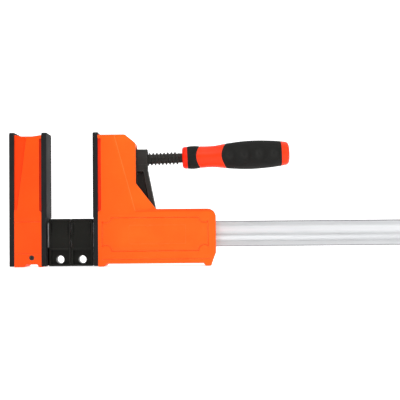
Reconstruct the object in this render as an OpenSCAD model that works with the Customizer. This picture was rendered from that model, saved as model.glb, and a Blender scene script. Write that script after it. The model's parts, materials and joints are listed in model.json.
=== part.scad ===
// Parallel-jaw quick release bar clamp, lying along its rail.
// X runs along the rail from the fixed jaw to the free end, Y is across the jaws,
// Z is up from the bench that the jaws' feet stand on. All sizes are in millimetres.

/* [Rail] */
// Widest opening between the jaws
capacity = 300; // [200:10:600]
// Height of the rail's section
rail_h = 28; // [25:0.5:31]
// Thickness of the rail across its wide faces
rail_t = 9.5; // [8:0.5:12]
// Height of the rail's underside above the bench
rail_lift = 20.5; // [17:0.5:24]
// Height of the hollow rolled into each wide face
groove_h = 14; // [8:0.5:18]
// Depth of that hollow
groove_d = 1.7; // [0.5:0.1:2.5]
// Rail left beyond the stop pin
rail_tail = 8; // [6:1:20]

/* [Jaws] */
// Height of the clamping faces above the bench
jaw_h = 146; // [130:1:170]
// Width of the clamping faces
jaw_w = 40; // [36:1:50]
// Length of the fixed jaw along the rail, with both plates
fixed_len = 40.5; // [36:0.5:50]
// Thickness of the plates on the jaws
plate_t = 5.6; // [4:0.2:7]
// Opening between the jaws as they stand at rest
jaw_gap = 50; // [49:1:120]
// Wall of the moulded shells
shell_wall = 2.6; // [2:0.2:3.2]
// How far the shells' sides stay inside the plates' edges
shell_inset = 0.8; // [0.4:0.2:1.4]
// How far the shells' tops stay below the plates' tops
shell_drop = 2.8; // [1:0.2:5]
// Height of the arch between the feet
foot_arch = 3; // [1:0.5:5]
// How far the plates stand back below the tops of the work rests
face_relief = 0.9; // [0:0.1:1.5]

/* [Moving jaw] */
// Length of the moving jaw along the rail
jaw_len = 133; // [125:1:150]
// Depth of the upper part, from clamping face to back edge
column_len = 46.5; // [44:0.5:52]
// Height of the lower housing's top over the rail
housing_over = 13.5; // [12:0.5:18]
// Drop from the spindle's axis to where the column's back edge turns into the slope
slope_drop = 26.5; // [20:0.5:32]
// Length of the slope along the rail
slope_len = 21.6; // [16:0.2:26]
// Depth of the shallow panel in the housing's side
panel_d = 0.6; // [0.2:0.1:1]
// Radius of the round corner pads of that panel
pad_r = 5.6; // [4:0.2:7]

/* [Spindle] */
// Depth of the spindle's axis below the tops of the jaws
spindle_drop = 29.5; // [24:0.5:34]
// Tilt of the spindle's axis, up towards the handle
spindle_tilt = 2.1; // [0:0.1:3]
// Outer diameter of the thread
thread_d = 14; // [12:0.5:16]
// Pitch of the thread
thread_pitch = 4; // [3:0.5:5]
// Depth of the thread
thread_depth = 1.7; // [1:0.1:2.2]
// Steps that each turn of the thread is drawn with
thread_steps = 18; // [12:2:24]
// Diameter of the plain journal at the spindle's tip
journal_d = 10; // [8:0.5:11]
// Travel that the screw gives
screw_travel = 28; // [16:4:28]
// Bare thread between the arm and the handle at rest
bare_thread = 38; // [34:1:60]

/* [Arm] */
// Diameter of the arm's boss round the spindle
boss_d = 23.2; // [21:0.2:26]
// Length of that boss
boss_len = 18; // [14:1:20]
// Width of the arm's flanges across the rail
arm_w = 20; // [18:0.5:22]
// Thickness of the arm's web
arm_web = 9; // [6:0.5:12]
// Thickness of the arm's flange
arm_flange = 5.2; // [4:0.2:7]
// Diameter of the hard pins that bite the rail
bite_d = 6; // [5:0.5:7]

/* [Handle] */
// Length of the handle
handle_len = 118; // [100:1:140]
// Largest diameter of the grip
grip_d = 31.4; // [28:0.2:36]
// Diameter of the slim neck
neck_d = 23.4; // [21:0.2:26]
// Thickness of the soft layer over the core
soft_t = 2; // [1.5:0.1:2.5]

/* [Work rests] */
// Width of one rest along the rail
rest_w = 23.4; // [20:0.2:24]
// Depth of one rest across the rail
rest_d = 20; // [18:1:26]
// Height of the rests' tops over the rail
rest_over = 3.7; // [1.5:0.1:4]
// Gap between the two rests
rest_gap = 0.8; // [0.4:0.1:1]
// Diameter of the screw hole through each rest
rest_hole_d = 8.6; // [6:0.2:9.5]
// Height of that hole above the bench
rest_hole_h = 7.8; // [7.2:0.2:8.4]

/* [Fits] */
// Gap between pieces that slide on each other
slide_gap = 0.3; // [0.2:0.05:0.5]
// Radial clearance of a turning journal
turn_gap = 0.05; // [0.02:0.01:0.1]
// Clearance between the thread and its nut
thread_gap = 0.3; // [0.2:0.05:0.4]
// Clearance round a piece that is only held in place
seat_gap = 0.1; // [0.05:0.05:0.2]

/* [Hidden] */
$fn = 48;
eps = 0.01;

// Colours
orange = [0.98, 0.36, 0.11];
soft_orange = [1, 0.27, 0.13];
dark = [0.15, 0.15, 0.14];
cast_black = [0.2, 0.2, 0.19];
steel = [0.78, 0.79, 0.8];
hard_steel = [0.5, 0.51, 0.53];
brass_tone = [0.75, 0.62, 0.35];

// Rail and its fastenings
rail_mid = rail_lift + rail_h / 2;
rail_top = rail_lift + rail_h;
stop_r = 2.5;
stop_out = 5.5;
rail_start = plate_t + shell_wall + seat_gap;
stop_x = fixed_len + capacity + jaw_len + slide_gap + stop_r;
rail_end = stop_x + rail_tail;
cap_wall = 2;
cap_sleeve = 4;
total_len = rail_end + cap_wall;

// Jaw sections
shell_w = jaw_w - 2 * shell_inset;
shell_top = jaw_h - shell_drop;
inner_w = shell_w - 2 * shell_wall;
face_x = fixed_len + jaw_gap;
plate_lift = 0.8;
plate_round = 1.6;
window_gap = 0.6;
spindle_h = jaw_h - spindle_drop;
housing_h = rail_top + housing_over;
slope_h = spindle_h - slope_drop;

// Dovetail that holds a plate on its shell
key_root = 10;
key_tip = 13;
key_t = shell_wall + 0.4;
key_low = rail_top + 8;
key_high = shell_top - 6;

// Finger recess beside each plate
recess_w = 3.6;
recess_d = 1.6;
recess_low = rail_top + 10;
recess_high = shell_top - 4;

// Fixed jaw
core_w = 18;
core_low = foot_arch + shell_wall + seat_gap;
screw_drop = 12;
core_high = shell_top - 2 * screw_drop;
fixed_core_x0 = rail_start;
fixed_core_x1 = fixed_len - plate_t - key_t - seat_gap;
fixing_r = 3;
fixing_x = (fixed_core_x0 + fixed_core_x1) / 2;
jaw_pin_r = 2.8;
jaw_pin_x = fixed_len * 0.6;
jaw_pin_z = rail_lift / 2;
screw_r = 1.9;
screw_head_r = 3.6;
screw_head_t = 2.4;
post_r = 4.2;

// Work rests
rest_top = rail_top + rest_over;
rest_play = (jaw_gap - 2 * rest_w - rest_gap) / 2;
rest_lift = 0.6;
rest_lug_t = 10;
rest_rib = 2.1;
rest_base = 1.6;
rest_waist = rail_lift - 5;
snap_w = 1.5;
snap_h = 12;

// Moving jaw, measured from its clamping face
guide_len = 20;
guide_t = 3;
column_core_x1 = column_len - shell_wall - 8;
jaw_core_w = 25;
core_plate = 4;
pad_t = 4;
bush_t = 6;
ring_t = 1.8;
ring_r = 8;
ring_groove = 0.9;
journal_r = journal_d / 2;
journal_tip = plate_t + key_t + seat_gap + core_plate + pad_t + slide_gap;
bush_x = column_core_x1 - bush_t;
thread_start = column_core_x1 + slide_gap;
boss_x1 = column_len + 12.5;
boss_x0 = boss_x1 - boss_len;
boss_mid = (boss_x0 + boss_x1) / 2;
screw_rise = screw_travel * sin(spindle_tilt);
handle_x0 = boss_x1 + bare_thread;
tang_r = thread_d / 2 - thread_depth - 0.5;
tang_len = handle_len * 0.55;

// Arm, measured from the moving jaw's clamping face
arm_foot_x1 = column_len + slope_len + 4;
arm_foot_len = 32;
arm_foot_drop = 12;
arm_foot_x0 = arm_foot_x1 - arm_foot_len;
arm_foot_low = rail_lift - arm_foot_drop;
arm_slot = arm_w + 2;
boss_slot = boss_d + 2;

// Housing panel and its pads
pad_low = rail_lift - window_gap - screw_r - 1;
pad_high = rail_top + window_gap + screw_r + 2.2;
panel_low = pad_low - 1;
panel_high = pad_high;
pad_x0 = 14;
pad_x1 = jaw_len - 12.6;

// Flats of the casings that lean inwards behind a slanted crease
facet_tilt = 4.5;
jaw_crease = [column_len - 0.4, housing_h - 1.6];
jaw_crease_lean = -15.2;
fixed_crease = [plate_t + 2.4, rail_top + 13.5];
fixed_crease_lean = 7.4;
top_screw_back = 20;
top_screw_drop = 7;
top_screw = [plate_t + top_screw_back, shell_top - top_screw_drop];
shell_screws = [[pad_x0, pad_high], [pad_x1, pad_high],
    [pad_x0, pad_low], [pad_x1, pad_low], top_screw];

// ---------- helpers ----------

function unit(v) = v / norm(v);

// Outline moved inwards by d; the points run anticlockwise.
function inset(p, d) = let (n = len(p)) [for (i = [0:n - 1])
    let (a = unit(p[i] - p[(i + n - 1) % n]),
         b = unit(p[(i + 1) % n] - p[i]),
         na = [-a[1], a[0]],
         nb = [-b[1], b[0]])
    p[i] + (na + nb) * d / (1 + na * nb)];

// Outline with each corner turned into an arc that starts cut[i] before it.
function rounded(p, cut, steps = 5) = let (n = len(p)) [for (i = [0:n - 1])
    let (a = p[i] + unit(p[(i + n - 1) % n] - p[i]) * cut[i],
         c = p[i] + unit(p[(i + 1) % n] - p[i]) * cut[i])
    each (cut[i] == 0 ? [p[i]] : [for (k = [0:steps]) let (t = k / steps)
        a * (1 - t) * (1 - t) + p[i] * 2 * t * (1 - t) + c * t * t])];

// A side outline [x, z] given depth from y0 to y1.
module side(points, y0, y1)
    translate([0, y1, 0]) rotate([90, 0, 0]) linear_extrude(y1 - y0) polygon(points);

// A plan outline [x, y] given height from z0 to z1.
module plan(points, z0, z1)
    translate([0, 0, z0]) linear_extrude(z1 - z0) polygon(points);

// A section outline [y, z] given length from x0 to x1.
module section(points, x0, x1)
    translate([x0, 0, 0]) rotate([90, 0, 90]) linear_extrude(x1 - x0) polygon(points);

module block(x0, x1, y0, y1, z0, z1)
    translate([x0, y0, z0]) cube([x1 - x0, y1 - y0, z1 - z0]);

// Round bar along X, from x0 to x1 at height z.
module bar_x(r, x0, x1, z, r2 = undef)
    translate([x0, 0, z]) rotate([0, 90, 0])
        cylinder(h = x1 - x0, r1 = r, r2 = is_undef(r2) ? r : r2);

// Round bar along Y, from y0 to y1 at [x, z].
module bar_y(r, y0, y1, x, z, r2 = undef)
    translate([x, y1, z]) rotate([90, 0, 0])
        cylinder(h = y1 - y0, r1 = is_undef(r2) ? r : r2, r2 = r);

// Everything is drawn from the fixed jaw's back face; this centres it over the bench.
module placed() translate([-total_len / 2, 0, 0]) children();

// The moving pieces are drawn from the moving jaw's clamping face.
module at_jaw() placed() translate([face_x, 0, 0]) children();

// What turns with the spindle is drawn level and then tilted about the middle of the arm's boss.
module on_spindle() translate([boss_mid, 0, spindle_h]) rotate([0, -spindle_tilt, 0])
    translate([-boss_mid, 0, -spindle_h]) children();

// ---------- thread ----------

// A right-hand thread along +Z from 0 up, with its crest fading out at both ends.
// grow widens it all round, for cutting the thread of a nut.
module thread(turns, grow = 0) {
    n = thread_steps;
    rows = n * turns;
    root_r = thread_d / 2 - thread_depth + grow;
    crest_r = thread_d / 2 + grow;
    spread = grow / thread_pitch;
    rise = [0.04 - spread, 0.26 - spread, 0.5 + spread, 0.72 + spread];
    lead = thread_pitch * 0.5;
    function fade(i) = min(1, i / n, (rows - i) / n);
    function at(i, j) = let (a = 360 * i / n,
            r = j == 1 || j == 2 ? root_r + (crest_r - root_r) * fade(i) : root_r)
        [r * cos(a), r * sin(a), thread_pitch * (i / n + rise[j])];
    function ring(z) = [for (k = [0:n - 1]) [root_r * cos(360 * k / n), root_r * sin(360 * k / n), z]];
    function id(i, j) = 4 * i + j;
    low = 4 * (rows + 1);
    high = low + n;
    top = thread_pitch * (turns + 1);
    points = concat([for (i = [0:rows]) for (j = [0:3]) at(i, j)], ring(-lead), ring(top + lead));
    flanks = [for (i = [0:rows - 1]) for (j = [0:2])
        [id(i, j), id(i, j + 1), id(i + 1, j + 1), id(i + 1, j)]];
    roots = [for (i = [0:rows - n - 1])
        [id(i, 3), id(i + n, 0), id(i + n + 1, 0), id(i + 1, 3)]];
    foot = concat(
        [for (k = [0:n - 2]) [low + k, id(k, 0), id(k + 1, 0), low + k + 1]],
        [[low + n - 1, id(n - 1, 0), id(n, 0), id(0, 3), id(0, 2), id(0, 1), id(0, 0), low]],
        [[for (k = [0:n - 1]) low + k]]);
    b = rows - n;
    head = concat(
        [for (k = [1:n - 1]) [id(b + k, 3), high + k, high + (k + 1) % n, id(b + k + 1, 3)]],
        [[high + 1, id(b + 1, 3), id(b, 3), id(rows, 0), id(rows, 1), id(rows, 2), id(rows, 3),
          high]],
        [[for (k = [n - 1:-1:0]) high + k]]);
    polyhedron(points, concat(flanks, roots, foot, head), convexity = 10);
}

// Whole turns that fill a length, and the length that a thread of those turns takes.
function turns_in(l) = floor(l / thread_pitch) - 2;
function thread_len(turns) = thread_pitch * (turns + 2);

// ---------- outlines ----------

function rail_outline() = let (t = rail_t / 2, h = rail_h / 2, g = groove_h / 2, c = 0.8, n = 8)
    concat(
        [[-t + c, -h], [t - c, -h], [t, -h + c]],
        [for (k = [0:n]) let (a = k / n) [t - groove_d * pow(sin(180 * a), 2), -g + 2 * g * a]],
        [[t, h - c], [t - c, h], [-t + c, h], [-t, h - c]],
        [for (k = [0:n]) let (a = k / n) [-t + groove_d * pow(sin(180 * a), 2), g - 2 * g * a]],
        [[-t, -h + c]]);

// Casing of the moving jaw: its feet, slope and corners.
function jaw_outline() = let (l = jaw_len, x = plate_t) rounded(
    [[x, 0], [x + 6.7, 0], [x + 8.2, foot_arch], [l - 13.2, foot_arch], [l - 11.6, 0],
     [l - 5.4, 0], [l, 14.5], [l, housing_h - 8], [l - 3.4, housing_h - 2],
     [l - 8.4, housing_h], [column_len + slope_len, housing_h], [column_len, slope_h],
     [column_len, shell_top - 15], [column_len - 1, shell_top - 9.8],
     [column_len - 11.5, shell_top], [x, shell_top]],
    [0, 0.8, 1, 1, 0.5, 0.8, 1, 2, 2, 2, 0, 0.6, 1.2, 2, 2, 0]);

// The same without feet and small corners, for the hollow inside.
function jaw_hollow() = let (l = jaw_len, x = plate_t) inset(
    [[x, foot_arch], [l - 7, foot_arch], [l, 14.5], [l, housing_h - 8], [l - 8.4, housing_h],
     [column_len + slope_len, housing_h], [column_len, slope_h],
     [column_len, shell_top - 12], [column_len - 11.5, shell_top], [x, shell_top]], shell_wall);

function fixed_outline() = let (a = plate_t, b = fixed_len - plate_t, m = (a + b) / 2) rounded(
    [[a, foot_arch], [a + 1, 0], [a + 10.5, 0], [a + 12.5, foot_arch], [b - 4.5, foot_arch],
     [b - 3.5, 0], [b, 0], [b, shell_top], [m + 3, shell_top - 0.8], [m - 5, shell_top - 0.8],
     [a, shell_top]],
    [0, 0.3, 1, 1, 0.5, 0.5, 0, 0, 2, 2, 0]);

function plate_outline() = let (h = jaw_w / 2, r = plate_round, t = plate_t)
    concat([[t, -h + 0.8], [t, h - 0.8], [t - 0.8, h], [r, h]],
        [for (k = [1:4]) [r - r * sin(22.5 * k), h - r + r * cos(22.5 * k)]],
        [for (k = [0:3]) [r - r * cos(22.5 * k), -h + r - r * sin(22.5 * k)]],
        [[r, -h], [t - 0.8, -h]]);

function key_outline(gap) = let (r = key_root / 2 + gap, t = key_tip / 2 + gap)
    [[-eps, -r], [key_t + gap, -t], [key_t + gap, t], [-eps, r]];

// ---------- rail ----------

module rail() color(steel) placed() difference() {
    translate([0, 0, rail_mid]) section(rail_outline(), rail_start, rail_end);
    bar_y(fixing_r, -rail_t, rail_t, fixing_x, rail_mid);
    bar_y(stop_r, -rail_t, rail_t, stop_x, rail_mid);
}

module rail_end_cap() color(dark) placed() difference() {
    outer_t = rail_t / 2 + cap_wall;
    outer_h = rail_h / 2 + cap_wall;
    translate([0, 0, rail_mid]) section(rounded(
        [[-outer_t, -outer_h], [outer_t, -outer_h], [outer_t, outer_h], [-outer_t, outer_h]],
        [2, 2, 2, 2]), rail_end - cap_sleeve, total_len);
    block(rail_end - cap_sleeve - eps, rail_end, -rail_t / 2, rail_t / 2, rail_lift, rail_top);
}

module rail_stop_pin() color(hard_steel) placed()
    bar_y(stop_r, -rail_t / 2 - stop_out, rail_t / 2 + stop_out, stop_x, rail_mid);

module rail_fixing_pin() color(hard_steel) placed()
    bar_y(fixing_r, -core_w / 2, core_w / 2, fixing_x, rail_mid);

// ---------- fixed jaw ----------

module fixed_jaw_core() color(hard_steel) placed() difference() {
    block(fixed_core_x0, fixed_core_x1, -core_w / 2, core_w / 2, core_low, core_high);
    block(fixed_core_x0 - 1, fixed_core_x1 + 1, -rail_t / 2 - seat_gap, rail_t / 2 + seat_gap,
        rail_lift - seat_gap, rail_top + seat_gap);
    for (s = [-1, 1])
        translate([0, s * core_w / 2, 0])
            block(fixed_core_x0 + 5, fixed_core_x1 - 5, -5, 5, rail_top + 8, core_high - 8);
    bar_y(fixing_r, -core_w, core_w, fixing_x, rail_mid);
    bar_y(jaw_pin_r, -core_w, core_w, jaw_pin_x, jaw_pin_z);
}

// The hollow of the fixed jaw's shells, with ribs left round the core.
module fixed_hollow() {
    inner = inset([[plate_t, foot_arch], [fixed_len - plate_t, foot_arch],
        [fixed_len - plate_t, shell_top], [plate_t, shell_top]], shell_wall);
    difference() {
        side(inner, -inner_w / 2, inner_w / 2);
        for (z = [core_high - 12, rail_top + 20, core_low + 4])
            difference() {
                block(0, fixed_len, -jaw_w / 2, jaw_w / 2, z - 1.5, z + 1.5);
                block(0, fixed_len, -core_w / 2 - seat_gap, core_w / 2 + seat_gap, z - 2, z + 2);
            }
        bar_y(post_r, -jaw_w / 2, jaw_w / 2, fixed_len / 2, core_high + screw_drop);
    }
}

module key_slot(high) plan(key_outline(seat_gap), key_low - seat_gap, high);

module finger_recess(x0, x1) for (s = [-1, 1])
    translate([0, s * shell_w / 2, 0])
        side([[x0, recess_low + (x1 - x0)], [x1, recess_low], [x1, recess_high],
              [x0, recess_high]], -recess_d, recess_d);

module rail_window(x0, x1)
    block(x0, x1, -rail_t / 2 - window_gap, rail_t / 2 + window_gap,
        rail_lift - window_gap, rail_top + window_gap);

module fixed_shell(y0, y1) difference() {
    side(fixed_outline(), y0, y1);
    fixed_hollow();
    rail_window(fixed_len / 2, fixed_len);
    translate([fixed_len - plate_t, 0, 0]) mirror([1, 0, 0]) key_slot(key_high);
    finger_recess(fixed_len - plate_t - recess_w, fixed_len - plate_t + 1);
    leaning_facet(fixed_crease, fixed_crease_lean, -1, fixed_len);
    bar_y(jaw_pin_r, -jaw_w, jaw_w, jaw_pin_x, jaw_pin_z);
    screw_hole(fixed_len / 2, core_high + screw_drop);
}

// A screw goes in from the rear and ends inside the front shell.
module screw_hole(x, z) {
    bar_y(screw_r, -shell_w / 2 + shell_wall + 1, shell_w / 2, x, z);
    bar_y(screw_head_r, shell_w / 2 - screw_head_t, shell_w, x, z);
}

module shell_screw(x, z) difference() {
    union() {
        bar_y(screw_r, -shell_w / 2 + shell_wall + 2, shell_w / 2 - 1, x, z);
        bar_y(screw_head_r - seat_gap, shell_w / 2 - screw_head_t, shell_w / 2 - 0.4, x, z);
    }
    for (a = [0, 90])
        translate([x, shell_w / 2, z]) rotate([0, a, 0]) cube([4.2, 3, 0.9], center = true);
}

module fixed_shell_front() color(orange) placed() fixed_shell(-shell_w / 2, 0);

module fixed_shell_rear() color(orange) placed() fixed_shell(0, shell_w / 2);

module fixed_shell_screw() color(hard_steel) placed() shell_screw(fixed_len / 2, core_high + screw_drop);

module fixed_jaw_pin() color(dark) placed()
    bar_y(jaw_pin_r, -shell_w / 2 - 0.2, shell_w / 2 + 0.2, jaw_pin_x, jaw_pin_z);

// Plate with its clamping face at x = 0 and its back at x = plate_t.
module plate(high_key, rail_slot) difference() {
    union() {
        plan(plate_outline(), plate_lift, jaw_h);
        if (high_key > 0)
            translate([plate_t, 0, 0]) plan(key_outline(0), key_low, high_key);
    }
    if (rail_slot)
        block(-1, plate_t + 1, -rail_t / 2 - window_gap, rail_t / 2 + window_gap,
            -1, rail_top + window_gap);
    if (rail_slot)
        block(-1, face_relief, -jaw_w, jaw_w, -1, rest_top + 1);
    for (s = [-1, 1])
        translate([0, s * (jaw_w / 2 + 3), jaw_h + 3]) rotate([45, 0, 0])
            translate([-1, -5, -5]) cube([plate_t + 2, 10, 10]);
}

module fixed_face_plate() color(dark) placed()
    translate([fixed_len, 0, 0]) mirror([1, 0, 0]) plate(key_high - seat_gap, true);

module fixed_back_plate() color(dark) placed() plate(0, false);

// ---------- work rests ----------

module rest_outline_cut(x0) {
    wall = rest_d / 2 - rest_lug_t / 2;
    for (s = [-1, 1])
        translate([0, s * rest_d / 2, 0])
            block(x0 + rest_rib, x0 + rest_w - rest_rib, -wall, wall,
                rest_lift + rest_base, rest_waist);
}

module rest(x0) difference() {
    side(rounded([[x0, rest_lift], [x0 + rest_w, rest_lift], [x0 + rest_w, rest_top],
        [x0, rest_top]], [0, 0, 1.4, 1.4], 3), -rest_d / 2, rest_d / 2);
    block(x0 - 1, x0 + rest_w + 1, -rail_t / 2 - slide_gap, rail_t / 2 + slide_gap,
        rail_lift - slide_gap, rail_top + slide_gap);
    rest_outline_cut(x0);
    for (x = [x0 + rest_rib, x0 + rest_w - rest_rib - snap_w])
        block(x, x + snap_w, -rest_d, rest_d, rail_top - 1 - snap_h, rail_top - 1);
    bar_y(rest_hole_d / 2, -rest_d, rest_d, x0 + rest_w / 2, rest_hole_h);
}

module work_rest_left() color(dark) placed() rest(fixed_len + rest_play);

module work_rest_right() color(dark) placed()
    rest(fixed_len + rest_play + rest_w + rest_gap);

// ---------- moving jaw ----------

// Pieces of the shells' inside that are left standing.
module jaw_ribs() {
    for (p = shell_screws)
        bar_y(post_r, -jaw_w / 2, jaw_w / 2, p[0], p[1]);
    for (x = [column_len - 2 - shell_wall])
        difference() {
            block(x, x + 2, -jaw_w / 2, jaw_w / 2, slope_h + 2, shell_top);
            block(x - 1, x + 3, -boss_slot / 2, boss_slot / 2, slope_h, shell_top);
        }
}

module jaw_shell(y0, y1) difference() {
    side(jaw_outline(), y0, y1);
    difference() {
        side(jaw_hollow(), -inner_w / 2, inner_w / 2);
        jaw_ribs();
    }
    rail_window(0, jaw_len + 1);
    // the arm's way through the back wall, the slope and the housing's top
    block(boss_x0 - 1, boss_x1 + screw_travel, -boss_slot / 2, boss_slot / 2,
        spindle_h - boss_slot / 2, spindle_h + boss_slot / 2 + screw_rise);
    block(boss_x0 - 1, arm_foot_x1 + screw_travel + 1, -arm_slot / 2, arm_slot / 2,
        housing_h - shell_wall - 2, spindle_h);
    translate([plate_t, 0, 0]) key_slot(key_high);
    finger_recess_moving();
    side_panel();
    leaning_facet(jaw_crease, jaw_crease_lean, 1, column_len + slope_len);
    for (p = shell_screws)
        screw_hole(p[0], p[1]);
}

module finger_recess_moving() for (s = [-1, 1])
    translate([0, s * shell_w / 2, 0])
        side([[plate_t - 1, recess_low + recess_w], [plate_t - 1, recess_high],
              [plate_t + recess_w, recess_high], [plate_t + recess_w, recess_low]],
            -recess_d, recess_d);

// Shallow panel with round pads left at its corners.
module side_panel() for (s = [-1, 1])
    translate([0, s * shell_w / 2, 0]) difference() {
        block(pad_x0 - pad_r + 1, pad_x1 + pad_r - 1, -panel_d, panel_d, panel_low, panel_high);
        for (p = [for (i = [0:3]) shell_screws[i]])
            bar_y(pad_r, -2, 2, p[0], p[1]);
    }

// What a casing's side loses behind a crease that starts at foot and leans by lean degrees.
// The side leans inwards towards +X where toward is 1, towards -X where it is -1.
module leaning_facet(foot, lean, toward, x1) for (s = [-1, 1])
    intersection() {
        block(0, x1, -jaw_w, jaw_w, foot[1], jaw_h + 1);
        translate([foot[0], s * shell_w / 2, foot[1]]) rotate([0, lean, 0])
            rotate([0, 0, -s * toward * facet_tilt])
                translate([toward > 0 ? 0 : -jaw_len, s > 0 ? 0 : -jaw_w, -jaw_h])
                    cube([jaw_len, jaw_w, 2 * jaw_h]);
    }

module jaw_shell_front() color(orange) at_jaw() jaw_shell(-shell_w / 2, 0);

module jaw_shell_rear() color(orange) at_jaw() jaw_shell(0, shell_w / 2);

module jaw_shell_screws() color(hard_steel) at_jaw()
    for (p = shell_screws)
        shell_screw(p[0], p[1]);

module jaw_face_plate() color(dark) at_jaw() plate(key_high - seat_gap, true);

// Steel channel that carries the thrust of the spindle to the clamping face.
module jaw_core() color(hard_steel) at_jaw() {
    x0 = plate_t + key_t + seat_gap;
    low = housing_h + 1;
    high = shell_top - shell_wall - 6;
    difference() {
        block(x0, column_core_x1, -jaw_core_w / 2, jaw_core_w / 2, low, high);
        block(x0 + core_plate, column_core_x1 + 1, -jaw_core_w / 2 + core_plate,
            jaw_core_w / 2 - core_plate, low - 1, high + 1);
        bar_y(post_r + seat_gap, -jaw_w / 2, jaw_w / 2, top_screw[0], top_screw[1]);
    }
}

// Bearing block round the rail at each end of the housing.
module guide(x0, x1) difference() {
    block(x0, x1, -inner_w / 2 + seat_gap, inner_w / 2 - seat_gap,
        rail_lift - slide_gap - guide_t, rail_top + slide_gap + guide_t);
    block(x0 - 1, x1 + 1, -rail_t / 2 - slide_gap, rail_t / 2 + slide_gap,
        rail_lift - slide_gap, rail_top + slide_gap);
    for (p = shell_screws)
        bar_y(post_r + seat_gap, -jaw_w / 2, jaw_w / 2, p[0], p[1]);
}

module jaw_guide_front() color(dark) at_jaw()
    guide(plate_t + shell_wall + seat_gap, plate_t + shell_wall + guide_len);

module jaw_guide_rear() color(dark) at_jaw()
    guide(jaw_len - shell_wall - guide_len, jaw_len - shell_wall - seat_gap);

module thrust_pad() color(hard_steel) at_jaw() {
    x0 = plate_t + key_t + seat_gap + core_plate;
    bar_x(jaw_core_w / 2 - core_plate - seat_gap, x0, x0 + pad_t, spindle_h);
}

module spindle_bush() color(brass_tone) at_jaw() on_spindle() difference() {
    r = jaw_core_w / 2 - core_plate;
    block(bush_x, column_core_x1, -r, r, spindle_h - r - 2, spindle_h + r + 2);
    bar_x(journal_r + turn_gap, bush_x - 1, column_core_x1 + 1, spindle_h);
}

// ---------- arm ----------

module clamp_arm() color(cast_black) at_jaw() {
    heel = [arm_foot_x1, arm_foot_low];
    toe = [arm_foot_x0, arm_foot_low];
    outer = [[boss_x1, spindle_h], [boss_x1, spindle_h - boss_d / 2],
        [column_len + slope_len - 0.6, housing_h], [arm_foot_x1, rail_top + 4], heel, toe,
        [arm_foot_x0, rail_top + 6], [boss_x0, spindle_h - boss_d / 2], [boss_x0, spindle_h]];
    profile = [for (i = [len(outer) - 1:-1:0]) outer[i]];
    difference() {
        union() {
            side(profile, -arm_web / 2, arm_web / 2);
            difference() {
                side(profile, -arm_w / 2, arm_w / 2);
                for (s = [-1, 1])
                    translate([0, s * arm_w / 2, 0])
                        side(inset([[boss_x1, spindle_h - boss_d / 2 + arm_flange - 2],
                            [boss_x0, spindle_h - boss_d / 2 + arm_flange - 2],
                            [arm_foot_x0, rail_top + 6], [arm_foot_x1, rail_top + 4],
                            [column_len + slope_len - 0.6, housing_h]],
                            arm_flange), -(arm_w - arm_web) / 2, (arm_w - arm_web) / 2);
            }
            bar_x(boss_d / 2, boss_x0, boss_x1, spindle_h);
        }
        bar_x(nut_r, boss_x0 - 1, boss_x1 - 1, spindle_h);
        bar_x(thread_d / 2 + 1, boss_x0, boss_x1 + 1, spindle_h);
        block(arm_foot_x0 - 1, arm_foot_x1 + 1, -rail_t / 2 - slide_gap, rail_t / 2 + slide_gap,
            rail_lift - slide_gap - screw_rise, rail_top + slide_gap);
        for (p = bite_places)
            bar_y(bite_d / 2, -arm_w, arm_w, p[0], p[1]);
    }
}

nut_r = boss_d / 2 - 2.4;
bite_places = [[arm_foot_x1 - 5, rail_top + slide_gap + bite_d / 2],
    [arm_foot_x0 + 5, rail_lift - slide_gap - screw_rise - bite_d / 2]];

module bite_pins() color(hard_steel) at_jaw()
    for (p = bite_places)
        bar_y(bite_d / 2, -arm_w / 2, arm_w / 2, p[0], p[1]);

module spindle_nut() color(brass_tone) at_jaw() difference() {
    bar_x(nut_r, boss_x0, boss_x1 - 1, spindle_h);
    on_spindle() threaded_part(thread_gap, 3);
}

// The spindle's thread in place. A nut's cut starts some turns earlier, in the same phase,
// so that it is full where the thread itself still fades in.
module threaded_part(grow = 0, early = 0) {
    turns = turns_in(handle_x0 - thread_start) + early;
    translate([handle_x0 - thread_len(turns) + thread_pitch / 2, 0, spindle_h]) rotate([0, 90, 0])
        thread(turns, grow);
}

// ---------- spindle and handle ----------

module spindle() color(cast_black) at_jaw() on_spindle() union() {
    threaded_part();
    difference() {
        bar_x(journal_r - eps, journal_tip, handle_x0, spindle_h);
        difference() {
            bar_x(journal_r + 1, bush_x - slide_gap - ring_t, bush_x - slide_gap, spindle_h);
            bar_x(journal_r - ring_groove, bush_x - slide_gap - ring_t - 1, bush_x, spindle_h);
        }
    }
    difference() {
        bar_x(tang_r, handle_x0 - 1, handle_x0 + tang_len, spindle_h);
        bar_y(pin_r, -thread_d, thread_d, handle_x0 + pin_x, spindle_h);
    }
}

module spindle_ring() color(steel) at_jaw() on_spindle() difference() {
    bar_x(ring_r, bush_x - slide_gap - ring_t, bush_x - slide_gap, spindle_h);
    bar_x(journal_r - ring_groove, bush_x - 3 * ring_t, bush_x, spindle_h);
}

// Handle, measured from its spindle end
collar_r = neck_d / 2 + 0.2;
band_x0 = 5.7;
band_x1 = 17;
neck_end = 45;
cap_len = 9.2;
grip_end = handle_len - cap_len;
grip_r = grip_d / 2;
pin_r = 2;
pin_x = neck_end + (grip_end - neck_end) * 0.17;
pin_half = grip_r - soft_t - 2.5;

// The grip's waist and belly: how far along it each point is, and its depth below the fullest.
grip_shape = [[0.13, 1.8], [0.27, 0.6], [0.47, 0], [0.66, 0.4], [0.85, 1.2], [1, 2.4]];

function grip_points() = concat([[neck_end, neck_d / 2 + 1.5]],
    [for (p = grip_shape) [neck_end + p[0] * (grip_end - neck_end), grip_r - p[1]]]);

// A solid turned about the spindle's axis from [distance, radius] points.
module turned(points)
    translate([handle_x0, 0, spindle_h]) rotate([0, 90, 0])
        rotate_extrude() polygon([for (p = points) [p[1], p[0]]]);

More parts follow.
